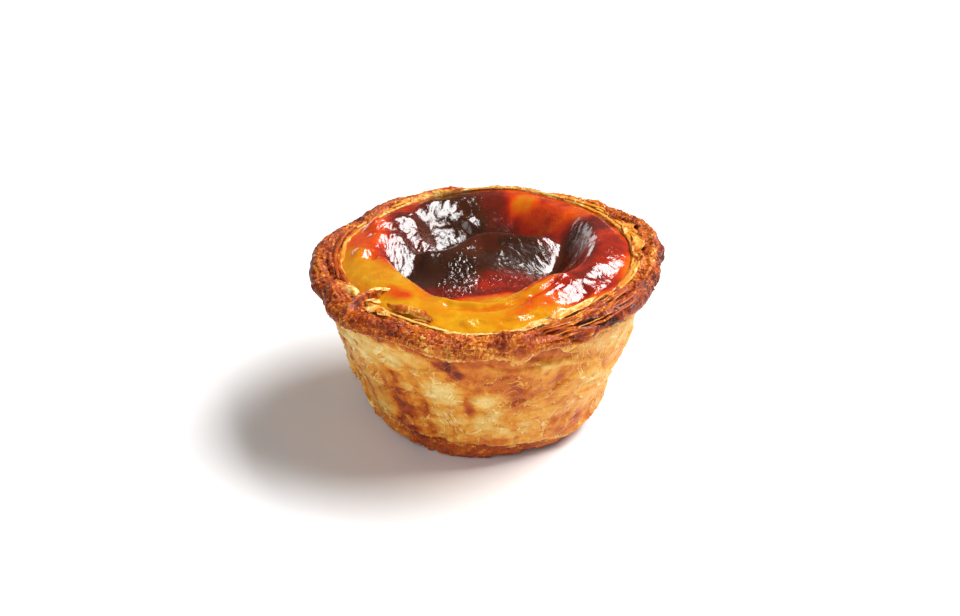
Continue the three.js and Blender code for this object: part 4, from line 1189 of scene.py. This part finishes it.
# The custard: the solid's own form, then the skin's wrinkles, bubbles and scorching. Places on it are seen
# from above, and a patch is given by its middle, half sizes and turn in degrees.
custard = {
    "slices": 440,
    "rings": 206,
    "gap": 0.3,
    "tuckUnderRim": 0.35,
    "tuckDrop": 0.7,
    "tuckSpan": (0.998, 1.016),
    "sides": (1, 0.66, 0.33),
    "sideScorch": 0.15,
    "centre": (0.7, 1.2),
    "ringRise": 1.1,
    "ringRiseToRight": 0.1,
    "ringRiseToFront": 0.6,
    "ringWidth": 8,
    "craterCentre": (0, 4.4),
    "craterRadius": 23.7,
    "craterWaves": [(1, 1.45, 0.75), (2, 1.7, -2.8), (3, 0.27, 1.5), (4, 0.55, -0.45)],
    "craterDepth": 6.6,
    "slopeWidth": 8.2,
    "slopeWaves": [(1, 2.9, 0.6), (2, 1.4, -2.4)],
    "wobble": 0.3,
    "wobbleSize": 5.5,
    # how far in from the edge each is held back, as a share of the ring's width
    "heldBack": {"folds": 0.3, "wobble": 0.5, "skin": 0.12},
    # from where to where each kind of patch fades, as shares of its half sizes
    "fades": {
        "facets": (0.35, 1.35), "crumples": (0.65, 1.1), "bubbles": (0.6, 1.1), "dullPatches": (0.6, 1.2),
        "scorching": (0.35, 1.3),
    },
    # folds of the skin: rise, width, path
    "folds": [
        (4.2, 3.7, [(-11.5, 9.6), (-8, 11), (-3.3, 14.4), (0, 15.4), (4, 14), (11, 11.6)]),
        (-1.3, 3, [(-12, 16), (-5, 20.4), (2, 21.5), (10, 18.5)]),
        (-1.5, 3.6, [(14, 5), (17, 10), (17.5, 16)]),
        (0.7, 4.2, [(13, -18.5), (19.5, -12), (24, -2), (25, 8), (22, 16)]),
        (1.2, 1.9, [(-2, -17.4), (4, -16.6), (10, -13.6), (14, -9.5)]),
        (0.35, 0.5, [(8.6, -18.9), (10.4, -17.9), (13.6, -15.4), (15.6, -13.0)]),
        (0.4, 0.4, [(9.4, -20.0), (12.4, -18.2), (15.2, -15.6)]),
        (-0.35, 0.5, [(9.6, -17.5), (11, -16.6), (13.8, -14.2)]),
        (-0.8, 1.3, [(-7, -19.6), (0, -21), (8, -19.2), (14.5, -14.5)]),
        (0.25, 3.2, [(-25, 6), (-23.5, -3), (-18.5, -12)]),
        (-0.7, 2.6, [(-17, 17), (-12, 21.5), (-5, 24)]),
    ],
    # soft swells and hollows: rise, patch
    "swells": [
        (2.2, (0, 8), (6, 6), 0),
        (-2.0, (-8, 12.5), (6, 3.5), 25),
        (-1.0, (20, -19), (2.0, 7), -45),
        (-0.8, (26, -11), (1.8, 5), -25),
        (2.4, (4.5, -13.2), (8, 3.2), 12),
        (-1.0, (-6.5, -14.6), (3.6, 2.2), -30),
        (1.2, (1, -8), (7, 4), 8),
        (-0.8, (13.5, -20.5), (5.5, 2.2), 30),
        (0.7, (14.2, -13.4), (3.0, 2.0), 35),
    ],
    # flatter stretches that all tip the same way: height, patch, how flat from 0 to 1
    "facetSlope": (-0.426, 0.549),
    "facets": [
        (34.0, (-24.2, 2.8), (2.6, 2.0), -40, 0.8),
        (32.6, (-18.3, 9), (4.6, 6.5), 0, 0.9),
        (33.2, (-16.4, 17.4), (5.0, 4.6), 0, 0.88),
        (34.8, (-21.4, 15.0), (3.4, 3.2), 0, 0.8),
        (29.9, (-11.5, 14.4), (3.4, 2.8), 0, 0.8),
        (33.2, (-8.8, 26), (4.4, 2.4), 0, 0.8),
        (30.9, (-2.4, 24.8), (2.2, 1.5), 0, 0.75),
        (35.1, (18.0, -17.4), (2.1, 4.2), -45, 0.9),
        (36.7, (23, -10.2), (2.2, 3.6), -32, 0.9),
        (32.6, (13, 12.2), (3.0, 2.0), -10, 0.7),
        (33.7, (-2, -25.6), (2.2, 1), 0, 0.55),
        (34.4, (8, -24.6), (3.6, 0.9), 8, 0.5),
    ],
    # crumpled skin: patch, how it is crumpled (direction, stretch, size, depth)
    "crumples": [
        ((-13.5, 19.5), (12.5, 9), 42, (40, 1.7, 1.9, 0.22)),
        ((-19, 9), (5, 8), 0, (75, 1.6, 1.7, 0.18)),
        ((-2, 27.5), (6, 4), 0, (20, 1.4, 1.1, 0.12)),
        ((-24.2, 2.8), (3.6, 3.0), -40, (-40, 2.6, 1.0, 0.12)),
        ((-5.6, 0), (4.4, 8.5), -12, (70, 1.4, 0.9, 0.38)),
        ((-16, 14), (10, 13), 20, (60, 2.0, 0.85, 0.07)),
        ((1, -24), (17, 4.5), 3, (5, 2.6, 1.2, 0.05)),
        ((-2, -25.6), (2.6, 1.4), 0, (20, 2.0, 0.9, 0.12)),
        ((8, -24.6), (4.4, 1.4), 8, (20, 2.0, 0.9, 0.12)),
        ((3, -15), (9, 3), 8, (15, 2.4, 1.1, 0.06)),
        ((-21, -10), (6, 9), -35, (-50, 2.6, 1.6, 0.06)),
        ((7.5, 6.5), (7, 7.5), -20, (-35, 3.2, 1.0, 0.19)),
        ((12.3, 11), (3.5, 3.5), 0, (20, 1.4, 1.0, 0.1)),
        ((19.3, 8), (4, 8.5), -8, (62, 3.4, 0.9, 0.2)),
        ((25, -8), (3.6, 7), -20, (-25, 2.6, 1.0, 0.17)),
        ((19, -15.5), (8, 5), 42, (-30, 2.0, 2.4, 0.2)),
        ((19, -15.5), (7, 4.2), 42, (-30, 2.6, 0.9, 0.1)),
        ((12.4, -14), (4, 2.6), 35, (35, 3.6, 1.1, 0.08)),
        ((14, 21), (6, 4), -30, (30, 1.8, 1.0, 0.05)),
    ],
    # bubbles: middle and half sizes of the patch, bubble size, rise
    "bubbles": [
        ((3, -2), (7, 5), 0.9, 0.11), ((-5, 1), (4.5, 9), 0.8, 0.14), ((0, 20), (26, 14), 1.1, 0.06),
        ((1, -18), (7, 3), 0.7, 0.08), ((16, 22), (6, 4), 0.8, 0.08), ((25, 2), (3, 9), 0.8, 0.08),
    ],
    # the skin's own grain: rise, size, seed
    "grain": [(0.02, 0.9, 450), (0.05, 2.6, 451)],
    # duller skin: patch, how dull
    "dullPatches": [
        ((6.5, 6), (7.5, 6), -20, 1),
        ((19.3, 8), (4, 8.5), -8, 0.8),
        ((-15, 15), (12, 14), 30, 0.25),
    ],
    # where the ring's lip hangs over the crease in front of the inner fold, and how sharply
    "lip": {
        "path": [
            (-19, 2), (-17.5, -2.5), (-14.2, -8.5), (-10, -14.5), (-7.4, -17.5), (-3, -19.3), (2, -19.6),
            (8, -18),
        ],
        "rise": 0.35,
        "width": 0.7,
        "drop": 0.75,
        "dropWidth": 1.1,
        "dropAway": 1.3,
    },
    # scorching from 0, pale yellow, to 1, almost black: patch, scorch, strength
    "plainScorch": 0.2,
    "scorchWander": {"reach": 1.1, "size": 4, "seeds": (501, 502)},
    "scorchShades": [(0.06, 1.3, 503), (0.09, 4, 504)],
    "scorching": [
        ((0, 8), (24, 21), 0, 0.82, 1),
        ((-5, 24), (13, 13), 0, 0.95, 1),
        ((-15, 16), (8, 11), 45, 0.86, 0.8),
        ((-8, 5), (13, 7), 0, 1.0, 1),
        ((6, 8), (11, 6), -10, 0.96, 1),
        ((-17, 25.5), (9, 3.2), 44, 0.56, 0.9),
        ((-24.5, 13), (5, 9), -20, 0.42, 1),
        ((12, 26), (12, 6.5), -20, 0.51, 1),
        ((14, 20.5), (7, 4), -20, 0.47, 0.9),
        ((19.5, 21), (5.5, 3.6), -38, 0.36, 0.95),
        ((16.5, 24.2), (1.6, 1.2), 0, 0.62, 0.7),
        ((14.2, 23.6), (2.6, 4), -20, 0.5, 0.85),
        ((5.5, 20.5), (5, 3), 0, 0.84, 0.9),
        ((11, 21.5), (6, 2.6), 0, 0.54, 0.8),
        ((8.4, 27.0), (6.2, 5.0), 0, 0.52, 0.95),
        ((8.4, 27.2), (3.7, 3.2), 0, 0.24, 1),
        ((2.0, 27), (3.0, 7), 0, 0.78, 0.75),
        ((18.5, 8), (4.5, 9), 0, 0.88, 0.9),
        ((24, 11), (4.5, 6), 0, 0.74, 0.9),
        ((25.5, -1), (4.5, 9), -5, 0.62, 1),
        ((21, -3), (2.5, 9), -5, 0.72, 0.8),
        ((19.5, -13.5), (9, 4.5), 42, 0.73, 1),
        ((4.5, 0.5), (9, 4.5), 0, 0.66, 0.95),
        ((3, -2.5), (6, 3), 0, 0.61, 0.8),
        ((14, 2), (3.4, 3.6), 0, 0.4, 0.9),
        ((-9, -9), (8, 8), -40, 0.72, 0.9),
        ((15.5, -14.5), (4.5, 3.2), 40, 0.62, 0.9),
        ((22.5, -16.5), (9, 3), 52, 0.64, 0.9),
        ((0, -8.4), (9.5, 2.6), 8, 0.36, 0.95),
        ((1, -11), (10, 3.4), 8, 0.1, 1),
        ((4, -14.8), (12, 4), 22, 0.08, 1),
        ((-4, -17.5), (8, 3.2), -8, 0.09, 1),
        ((-19.5, -9), (13, 6.2), -50, 0.12, 1),
        ((-25.5, -4), (5, 8), 10, 0.12, 1),
        ((0, -25), (19, 5.6), 0, 0.09, 1),
        ((-16, -19), (8, 6), -40, 0.1, 1),
        ((11, -20.5), (9, 1.8), 27, 0.36, 0.8),
        ((11.4, -17.4), (4.6, 1.2), 38, 0.5, 0.8),
        ((10.6, -13.8), (4.4, 0.8), 36, 0.58, 0.75),
        ((14.4, -13.2), (3.4, 1), 40, 0.62, 0.8),
        ((1, -20.6), (8, 0.75), 4, 0.34, 0.8),
        ((20.5, -20), (8, 1.8), 42, 0.3, 0.9),
        ((-17.3, -15), (3.4, 2.2), -30, 0.36, 1),
        ((-16.6, -15.4), (1.8, 1.1), -30, 0.48, 0.8),
        ((-24, -11), (2.4, 1.6), 0, 0.2, 0.7),
    ],
}


def insidePatch(x, y, middle, halfSizes, degrees):
    # 0 at the patch's middle and 1 on its outline
    turn = math.radians(degrees)
    across = (x - middle[0]) * math.cos(turn) + (y - middle[1]) * math.sin(turn)
    up = -(x - middle[0]) * math.sin(turn) + (y - middle[1]) * math.cos(turn)
    return np.hypot(across / halfSizes[0], up / halfSizes[1])


def custardForm(x, y):
    # the height, and how far in from the edge each place is, from 0 to 1
    angle, radius = np.arctan2(y, x), np.hypot(x, y)
    edge = custardEdge(angle)
    slant = custard["ringRiseToRight"] * x - custard["ringRiseToFront"] * y
    rise = custard["ringRise"] + slant / cup["custardEdgeRadius"]
    inward = np.clip((edge - radius) / custard["ringWidth"], 0, 1)
    ring = rise * (1 - (1 - inward) ** 2)
    craterX, craterY = x - custard["craterCentre"][0], y - custard["craterCentre"][1]
    craterAngle = np.arctan2(craterY, craterX)
    lip = custard["craterRadius"] + sumOfWaves(custard["craterWaves"], craterAngle)
    width = custard["slopeWidth"] + sumOfWaves(custard["slopeWaves"], craterAngle)
    crater = smooth((lip - np.hypot(craterX, craterY)) / width, 0, 1) * custard["craterDepth"]
    folds = 0
    for foldRise, foldWidth, path in custard["folds"]:
        folds = folds + foldRise * bump(nearestOnPath(x, y, smoothPath(path))[0], foldWidth)
    for swellRise, middle, halfSizes, degrees in custard["swells"]:
        folds = folds + swellRise * bump(insidePatch(x, y, middle, halfSizes, degrees), 1)
    wobble = custard["wobble"] * noise(x / custard["wobbleSize"], y / custard["wobbleSize"], 31)
    height = custardEdgeHeight(angle, radius / edge) + ring - crater
    height = height + folds * smooth(inward, 0, custard["heldBack"]["folds"])
    height = height + wobble * smooth(inward, 0, custard["heldBack"]["wobble"])
    slopeX, slopeY = custard["facetSlope"]
    for level, middle, halfSizes, degrees, flatness in custard["facets"]:
        inside = 1 - smooth(insidePatch(x, y, middle, halfSizes, degrees), *custard["fades"]["facets"])
        plane = level + slopeX * (x - middle[0]) + slopeY * (y - middle[1])
        height = mixed(height, plane, flatness * inside)
    return height, inward


def crumpled(x, y, direction, stretch, size, seed):
    # folds drawn out in one direction, sharp along their crests
    turn = math.radians(direction)
    bend = 0.9 * size * layeredFlat(x, y, 2.6 * size, seed + 3, 2)
    along = (x * math.cos(turn) + y * math.sin(turn)) / stretch + bend
    across = -x * math.sin(turn) + y * math.cos(turn) + bend
    creased = 1 - 2 * np.abs(layeredFlat(along, across, size, seed, 3, 0.6))
    return creased + 0.5 * layeredFlat(along, across, 0.45 * size, seed + 9, 2)


def skinRelief(x, y, inward):
    # the skin's relief, and how finely it is crinkled and bubbled from 0 to 1
    relief, crinkle, bubbly, fades = 0, 0, 0, custard["fades"]
    for number, (middle, halfSizes, degrees, folding) in enumerate(custard["crumples"]):
        direction, stretch, size, depth = folding
        far = insidePatch(x, y, middle, halfSizes, degrees)
        inside = 1 - smooth(far + 0.3 * layeredFlat(x, y, 2.5, 200 + number, 3), *fades["crumples"])
        relief = relief + depth * inside * crumpled(x, y, direction, stretch, size, 300 + 11 * number)
        crinkle = np.maximum(crinkle, inside)
    for number, (middle, halfSizes, size, rise) in enumerate(custard["bubbles"]):
        inside = 1 - smooth(insidePatch(x, y, middle, halfSizes, 0), *fades["bubbles"])
        relief = relief + rise * inside * smooth(layeredFlat(x, y, size, 400 + number, 2), 0.3, 0.65)
        bubbly = np.maximum(bubbly, inside * smooth(rise, 0.04, 0.14))
    lip = custard["lip"]
    distance, share, side = nearestOnPath(x, y, smoothPath(lip["path"]))
    fade = np.sin(np.pi * np.clip(share, 0.02, 0.98)) ** 0.5
    within = smooth(side * distance, 0.1, 0.6)
    relief = relief + fade * lip["rise"] * bump(distance, lip["width"])
    relief = relief - fade * within * lip["drop"] * bump(distance - lip["dropAway"], lip["dropWidth"])
    for rise, size, seed in custard["grain"]:
        relief = relief + rise * layeredFlat(x, y, size, seed, 2)
    return relief * smooth(inward, 0, custard["heldBack"]["skin"]), crinkle, bubbly


def dullnessOf(x, y):
    # from 0, glossy, to 1
    dull = 0
    for middle, halfSizes, degrees, amount in custard["dullPatches"]:
        far = insidePatch(x, y, middle, halfSizes, degrees) + 0.25 * layeredFlat(x, y, 2.2, 511, 3)
        dull = np.maximum(dull, amount * (1 - smooth(far, *custard["fades"]["dullPatches"])))
    return dull


def scorchOf(x, y):
    # each patch covers the ones before it, and its outline wanders
    wander = custard["scorchWander"]
    warpX, warpY = (wander["reach"] * layeredFlat(x, y, wander["size"], seed, 3) for seed in wander["seeds"])
    scorch = custard["plainScorch"]
    for middle, halfSizes, degrees, level, strength in custard["scorching"]:
        far = insidePatch(x + warpX, y + warpY, middle, halfSizes, degrees)
        scorch = mixed(scorch, level, strength * (1 - smooth(far, *custard["fades"]["scorching"])))
    for amount, size, seed in custard["scorchShades"]:
        scorch = scorch + amount * layeredFlat(x, y, size, seed, 3)
    return scorch


def makeCustard():
    angle = np.arange(custard["slices"]) / custard["slices"] * tau
    edge, level = custardEdge(angle), custardEdgeHeight(angle, 1)
    share = np.linspace(1, 0, custard["rings"], endpoint=False)[:, None]
    reach = edge + custard["tuckUnderRim"]
    x = mixed(custard["centre"][0], reach * np.cos(angle), share)
    y = mixed(custard["centre"][1], reach * np.sin(angle), share)
    height, inward = custardForm(x, y)
    relief, crinkle, bubbly = skinRelief(x, y, inward)
    under = smooth(share * reach / edge, *custard["tuckSpan"])
    height = height + relief - custard["tuckDrop"] * under
    scorch = scorchOf(x, y)
    floor = cup["hollowFloorHeight"] + custard["gap"]
    floorRadius = cup["hollowFloorRadius"] - custard["gap"]
    # the hidden sides, from the floor up to the edge
    sides = []
    for down in custard["sides"]:
        bulge = cup["hollowBulge"] * 4 * down * (1 - down)
        sides.append((mixed(edge - custard["gap"], floorRadius, down) + bulge, mixed(level, floor, down)))
    x = np.vstack([*[r * np.cos(angle) for r, _ in sides], x])
    y = np.vstack([*[r * np.sin(angle) for r, _ in sides], y])
    height = np.vstack([*[h for _, h in sides], height])
    scorch = np.vstack([*[custard["sideScorch"] + 0 * angle] * len(sides), scorch])
    crinkle = np.vstack([*[0 * angle] * len(sides), crinkle])
    bubbly = np.vstack([*[0 * angle] * len(sides), bubbly])
    poles = [(0, 0, floor), (*custard["centre"], height[-1].mean())]
    values = {"scorch": scorch, "crinkle": crinkle, "bubbly": bubbly, "dull": dullnessOf(x, y)}
    return meshFromRings("custardFilling", [(x, y, height, values, poles)])


# Materials.

def colour(red, green, blue):
    # screen colour, 0 to 255, to linear
    def linear(value):
        value = value / 255
        return value / 12.92 if value <= 0.04045 else ((value + 0.055) / 1.055) ** 2.4
    return (linear(red), linear(green), linear(blue), 1)


def newMaterial(name):
    material = bpy.data.materials.new(name)
    material.use_nodes = True
    nodes, links = material.node_tree.nodes, material.node_tree.links
    return material, nodes, links, nodes["Principled BSDF"]


def addNoise(nodes, links, place, scale, layers=4, roughness=0.6, twist=0.0):
    texture = nodes.new("ShaderNodeTexNoise")
    texture.inputs["Scale"].default_value = scale
    texture.inputs["Detail"].default_value = layers
    texture.inputs["Roughness"].default_value = roughness
    texture.inputs["Distortion"].default_value = twist
    links.new(place.outputs["Object"], texture.inputs["Vector"])
    return texture.outputs["Fac"]


def addMath(nodes, links, operation, first, second=None, third=None):
    node = nodes.new("ShaderNodeMath")
    node.operation = operation
    for socket, value in zip(node.inputs, (first, second, third)):
        if value is None:
            continue
        if isinstance(value, (int, float)):
            socket.default_value = value
        else:
            links.new(value, socket)
    return node.outputs[0]


def centredNoise(nodes, links, place, settings):
    # a noise that goes above and below 0
    return addMath(nodes, links, "SUBTRACT", addNoise(nodes, links, place, *settings), 0.5)


def remap(nodes, links, value, low, high, newLow, newHigh):
    node = nodes.new("ShaderNodeMapRange")
    for socket, number in zip(("From Min", "From Max", "To Min", "To Max"), (low, high, newLow, newHigh)):
        node.inputs[socket].default_value = number
    links.new(value, node.inputs["Value"])
    return node.outputs["Result"]


def addValue(nodes, name):
    # a value that the mesh carries
    node = nodes.new("ShaderNodeAttribute")
    node.attribute_name = name
    return node.outputs["Fac"]


def addRamp(nodes, links, value, stops):
    ramp = nodes.new("ShaderNodeValToRGB")
    ramp.color_ramp.interpolation = "LINEAR"
    while len(ramp.color_ramp.elements) > 1:
        ramp.color_ramp.elements.remove(ramp.color_ramp.elements[-1])
    ramp.color_ramp.elements[0].position = stops[0][0]
    ramp.color_ramp.elements[0].color = colour(*stops[0][1])
    for position, rgb in stops[1:]:
        ramp.color_ramp.elements.new(position).color = colour(*rgb)
    links.new(value, ramp.inputs["Fac"])
    return ramp.outputs["Color"]


def addBump(nodes, links, height, distance, strength=None, under=None):
    node = nodes.new("ShaderNodeBump")
    node.inputs["Distance"].default_value = distance
    links.new(height, node.inputs["Height"])
    for socket, value in (("Strength", strength), ("Normal", under)):
        if value is not None:
            links.new(value, node.inputs[socket])
    return node.outputs["Normal"]


def setShader(shader, settings):
    for socket, value in settings.items():
        shader.inputs[socket].default_value = value


# Baked dough, from raw to almost black. Noises are size, finer layers, roughness and twist.
pastryLook = {
    "stops": [
        (0.0, (238, 212, 144)),
        (0.16, (222, 180, 98)),
        (0.32, (218, 148, 47)),
        (0.47, (195, 103, 20)),
        (0.61, (163, 65, 12)),
        (0.75, (124, 42, 10)),
        (0.88, (88, 27, 8)),
        (1.0, (44, 17, 8)),
    ],
    "fineNoise": (2100, 3, 0.6),
    "speckle": (0.12, 0.38),
    "mottleNoise": (560, 4, 0.6),
    "mottle": 0.14,
    "fleckAndGlintNoise": (2900, 1, 0.5),
    "fleckAndGlintLevels": (0.6, 0.68),
    "flecksAndPaintedGlints": 0.26,
    "sheetNoise": (150, 4, 0.5, 0.8),
    "sheetSteps": 7,
    "sheetPatchNoise": (330, 2, 0.5),
    "sheetPatchLevels": (0.44, 0.52),
    "sheetPaintedHighlightLevels": (0.82, 0.92),
    "sheetPaintedShadeLevels": (0.01, 0.14),
    "sheetPaintedHighlight": 0.22,
    "sheetPaintedShade": 0.2,
    "sheetBump": 0.00024,
    "grainBump": 0.0002,
    "grainStrength": (0.1, 1),
    "roughness": (0.46, 0.38),
    "gloss": 0.25,
    "scatter": 0.08,
    "scatterReach": (1.0, 0.5, 0.2),
    "scatterScale": 0.0006,
}


def makePastryMaterial():
    look = pastryLook
    material, nodes, links, shader = newMaterial("bakedPastry")
    place = nodes.new("ShaderNodeTexCoord")
    bake, sandy = addValue(nodes, "bake"), addValue(nodes, "sandy")
    fine = centredNoise(nodes, links, place, look["fineNoise"])
    mottle = centredNoise(nodes, links, place, look["mottleNoise"])
    # pale flecks on sandy dough: partly crumbs of paler dough, partly painted glints
    flecksAndPaintedGlints = addNoise(nodes, links, place, *look["fleckAndGlintNoise"])
    flecksAndPaintedGlints = remap(nodes, links, flecksAndPaintedGlints, *look["fleckAndGlintLevels"], 0, 1)
    flecksAndPaintedGlints = addMath(nodes, links, "MULTIPLY", flecksAndPaintedGlints, sandy)
    # thin sheets of dough: a sawtooth over a bent noise, with a painted highlight at each upper edge and
    # painted shade just below it
    levels = addNoise(nodes, links, place, *look["sheetNoise"])
    levels = addMath(nodes, links, "FRACT", addMath(nodes, links, "MULTIPLY", levels, look["sheetSteps"]))
    patches = addNoise(nodes, links, place, *look["sheetPatchNoise"])
    patches = remap(nodes, links, patches, *look["sheetPatchLevels"], 0, 1)
    # pale is the painted highlight along each sheet's upper edge, dark the painted shade just below it
    pale, dark = (
        addMath(nodes, links, "MULTIPLY", remap(nodes, links, levels, *look[part], *shades), patches)
        for part, shades in (("sheetPaintedHighlightLevels", (0, 1)), ("sheetPaintedShadeLevels", (1, 0)))
    )
    speckle = remap(nodes, links, sandy, 0, 1, *look["speckle"])
    shade = bake
    for layer, amount in (
        (fine, speckle), (mottle, look["mottle"]), (flecksAndPaintedGlints, -look["flecksAndPaintedGlints"]),
        (pale, -look["sheetPaintedHighlight"]), (dark, look["sheetPaintedShade"]),
    ):
        shade = addMath(nodes, links, "MULTIPLY_ADD", layer, amount, shade)
    links.new(addRamp(nodes, links, shade, look["stops"]), shader.inputs["Base Color"])
    links.new(remap(nodes, links, shade, 0.3, 0.9, *look["roughness"]), shader.inputs["Roughness"])
    ridge = addBump(nodes, links, addMath(nodes, links, "MULTIPLY", levels, patches), look["sheetBump"])
    strength = remap(nodes, links, sandy, 0, 1, *look["grainStrength"])
    grain = addBump(nodes, links, fine, look["grainBump"], strength, ridge)
    links.new(grain, shader.inputs["Normal"])
    setShader(shader, {
        "Specular IOR Level": look["gloss"], "Subsurface Weight": look["scatter"],
        "Subsurface Radius": look["scatterReach"], "Subsurface Scale": look["scatterScale"],
    })
    return material


# Custard skin, from pale yellow to scorched.
custardLook = {
    "stops": [
        (0.0, (212, 163, 26)),
        (0.1, (197, 131, 4)),
        (0.2, (193, 109, 2)),
        (0.3, (194, 91, 3)),
        (0.4, (199, 68, 5)),
        (0.54, (160, 36, 8)),
        (0.66, (116, 26, 12)),
        (0.78, (84, 26, 12)),
        (0.9, (63, 27, 10)),
        (1.0, (48, 22, 8)),
    ],
    "mottleNoise": (700, 4, 0.6),
    "mottle": 0.05,
    "roughness": (0.14, 0.1),
    "dullness": 0.22,
    "skinNoise": (1500, 3, 0.5),
    "skinBump": 0.00002,
    "crinkleNoise": (850, 3, 0.55),
    "crinkleBump": 0.0002,
    "bubbleNoise": (1300, 1, 0.5),
    "bubbleLevels": (0.58, 0.68),
    "bubbleBump": 0.00012,
    "coat": 0.3,
    "coatRoughness": 0.03,
    "scatter": 0.15,
    "scatterReach": (1.0, 0.35, 0.1),
    "scatterScale": 0.002,
}


def makeCustardMaterial():
    look = custardLook
    material, nodes, links, shader = newMaterial("scorchedCustard")
    place = nodes.new("ShaderNodeTexCoord")
    scorch, dull = addValue(nodes, "scorch"), addValue(nodes, "dull")
    crinkle, bubbly = addValue(nodes, "crinkle"), addValue(nodes, "bubbly")
    mottle = centredNoise(nodes, links, place, look["mottleNoise"])
    level = addMath(nodes, links, "MULTIPLY_ADD", mottle, look["mottle"], scorch)
    links.new(addRamp(nodes, links, level, look["stops"]), shader.inputs["Base Color"])
    polish = remap(nodes, links, level, 0.1, 0.9, *look["roughness"])
    rough = addMath(nodes, links, "MULTIPLY_ADD", dull, look["dullness"], polish)
    links.new(rough, shader.inputs["Roughness"])
    skin = addBump(nodes, links, addNoise(nodes, links, place, *look["skinNoise"]), look["skinBump"])
    creases = addNoise(nodes, links, place, *look["crinkleNoise"])
    creases = addMath(nodes, links, "PINGPONG", creases, 0.5)
    creased = addBump(nodes, links, creases, look["crinkleBump"], crinkle, skin)
    raised = addNoise(nodes, links, place, *look["bubbleNoise"])
    raised = remap(nodes, links, raised, *look["bubbleLevels"], 0, 1)
    bubbled = addBump(nodes, links, raised, look["bubbleBump"], bubbly, creased)
    links.new(bubbled, shader.inputs["Normal"])
    setShader(shader, {
        "Subsurface Weight": look["scatter"], "Subsurface Radius": look["scatterReach"],
        "Subsurface Scale": look["scatterScale"], "Coat Weight": look["coat"],
        "Coat Roughness": look["coatRoughness"],
    })
    return material


print("shaping the cup")
cupWall = makeWall()
cupRim = makeRim()
scraps = makeScraps()

print("shaping the custard")
filling = makeCustard()

print("colouring the pastry and the custard")
bakedPastry = makePastryMaterial()
scorchedCustard = makeCustardMaterial()
for piece in (cupWall, cupRim, scraps):
    piece.data.materials.append(bakedPastry)
filling.data.materials.append(scorchedCustard)

print("layering and flaking the pastry")
layers = makeLaminations(bakedPastry)
shapes = makeFlakeShapes()
scatter = flakeTree()
slivers = makeFlakes("rimSlivers", cupRim, shapes, scatter, bakedPastry)
flakes = makeFlakes("wallFlakes", cupWall, shapes, scatter, bakedPastry)
for shape in list(shapes.objects):
    bpy.data.objects.remove(shape)

pieces = (cupWall, cupRim, scraps, layers, slivers, flakes, filling)
for piece in pieces:
    node, slot = ("custard", "custard") if piece is filling else ("pastry_shell", "pastry")
    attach(piece, "root")
    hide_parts(node)


# Floor, lights and camera. The floor and the lights are in metres, each light with its place, its width and
# height, and its power. The camera's distance and aim are in millimetres.
studio = {
    "floorWidth": 6,
    "floorColour": (240, 240, 240),
    "floorRoughness": 0.9,
    "floorGloss": 0.1,
    "worldStrength": 0.12,
    "lightsAimAt": (0, 0, 0.03),
    "lights": {
        "keyLight": ((0.4125, 0.12, 0.6075), (0.62, 0.34), 11.5),
        "frontLight": ((-0.36, -0.74, 0.5), (0.7, 0.7), 3.95),
        "backLeftLight": ((-0.36, 0.7, 0.09), (0.36, 0.16), 0.45),
    },
    "lens": 85,
    "sensorWidth": 36,
    "cameraElevation": 29,
    "cameraAway": 468.7,
    "aimHeight": 18,
    "aimPixel": (484.5, 329.9),
    "imageSize": (960, 616),
}


def makeFloor():
    half = studio["floorWidth"] / 2
    corners = [(-half, -half, 0), (half, -half, 0), (half, half, 0), (-half, half, 0)]
    mesh = bpy.data.meshes.new("floor")
    mesh.from_pydata(corners, [], [(0, 1, 2, 3)])
    floor = addObject("floor", mesh)
    material, _, _, shader = newMaterial("paleFloor")
    setShader(shader, {
        "Base Color": colour(*studio["floorColour"]), "Roughness": studio["floorRoughness"],
        "Specular IOR Level": studio["floorGloss"],
    })
    mesh.materials.append(material)


def makeWorld():
    world = bpy.data.worlds.new("studioAir")
    world.use_nodes = True
    setShader(world.node_tree.nodes["Background"], {
        "Color": (1, 1, 1, 1), "Strength": studio["worldStrength"],
    })
    bpy.context.scene.world = world


def makeLight(name, place, size, power):
    light = bpy.data.lights.new(name, "AREA")
    light.shape = "RECTANGLE"
    light.energy = power
    light.size, light.size_y = size
    panel = addObject(name, light)
    panel.location = place
    toward = Vector(studio["lightsAimAt"]) - Vector(place)
    panel.rotation_euler = toward.to_track_quat("-Z", "Y").to_euler()


def makeCamera():
    elevation = math.radians(studio["cameraElevation"])
    target = Vector((axisOffset[0] * mm, axisOffset[1] * mm, studio["aimHeight"] * mm))
    looking = Vector((0, math.cos(elevation), -math.sin(elevation)))
    (aimAcross, aimDown), (wide, high) = studio["aimPixel"], studio["imageSize"]
    camera = addObject("camera", bpy.data.cameras.new("camera"))
    camera.data.lens = studio["lens"]
    camera.data.sensor_width = studio["sensorWidth"]
    camera.data.clip_start, camera.data.clip_end = 0.01, 20
    camera.data.shift_x = (wide / 2 - aimAcross) / wide
    camera.data.shift_y = (aimDown - high / 2) / wide
    camera.location = target - studio["cameraAway"] * mm * looking
    camera.rotation_euler = looking.to_track_quat("-Z", "Y").to_euler()
    bpy.context.scene.camera = camera


print("setting the floor, lights and camera")
makeFloor()
makeWorld()
for name, settings in studio["lights"].items():
    makeLight(name, *settings)
makeCamera()
bpy.context.scene.view_settings.view_transform = "Standard"

for piece in pieces:
    print(piece.name, sum(len(p.vertices) - 2 for p in piece.data.polygons), "triangles")
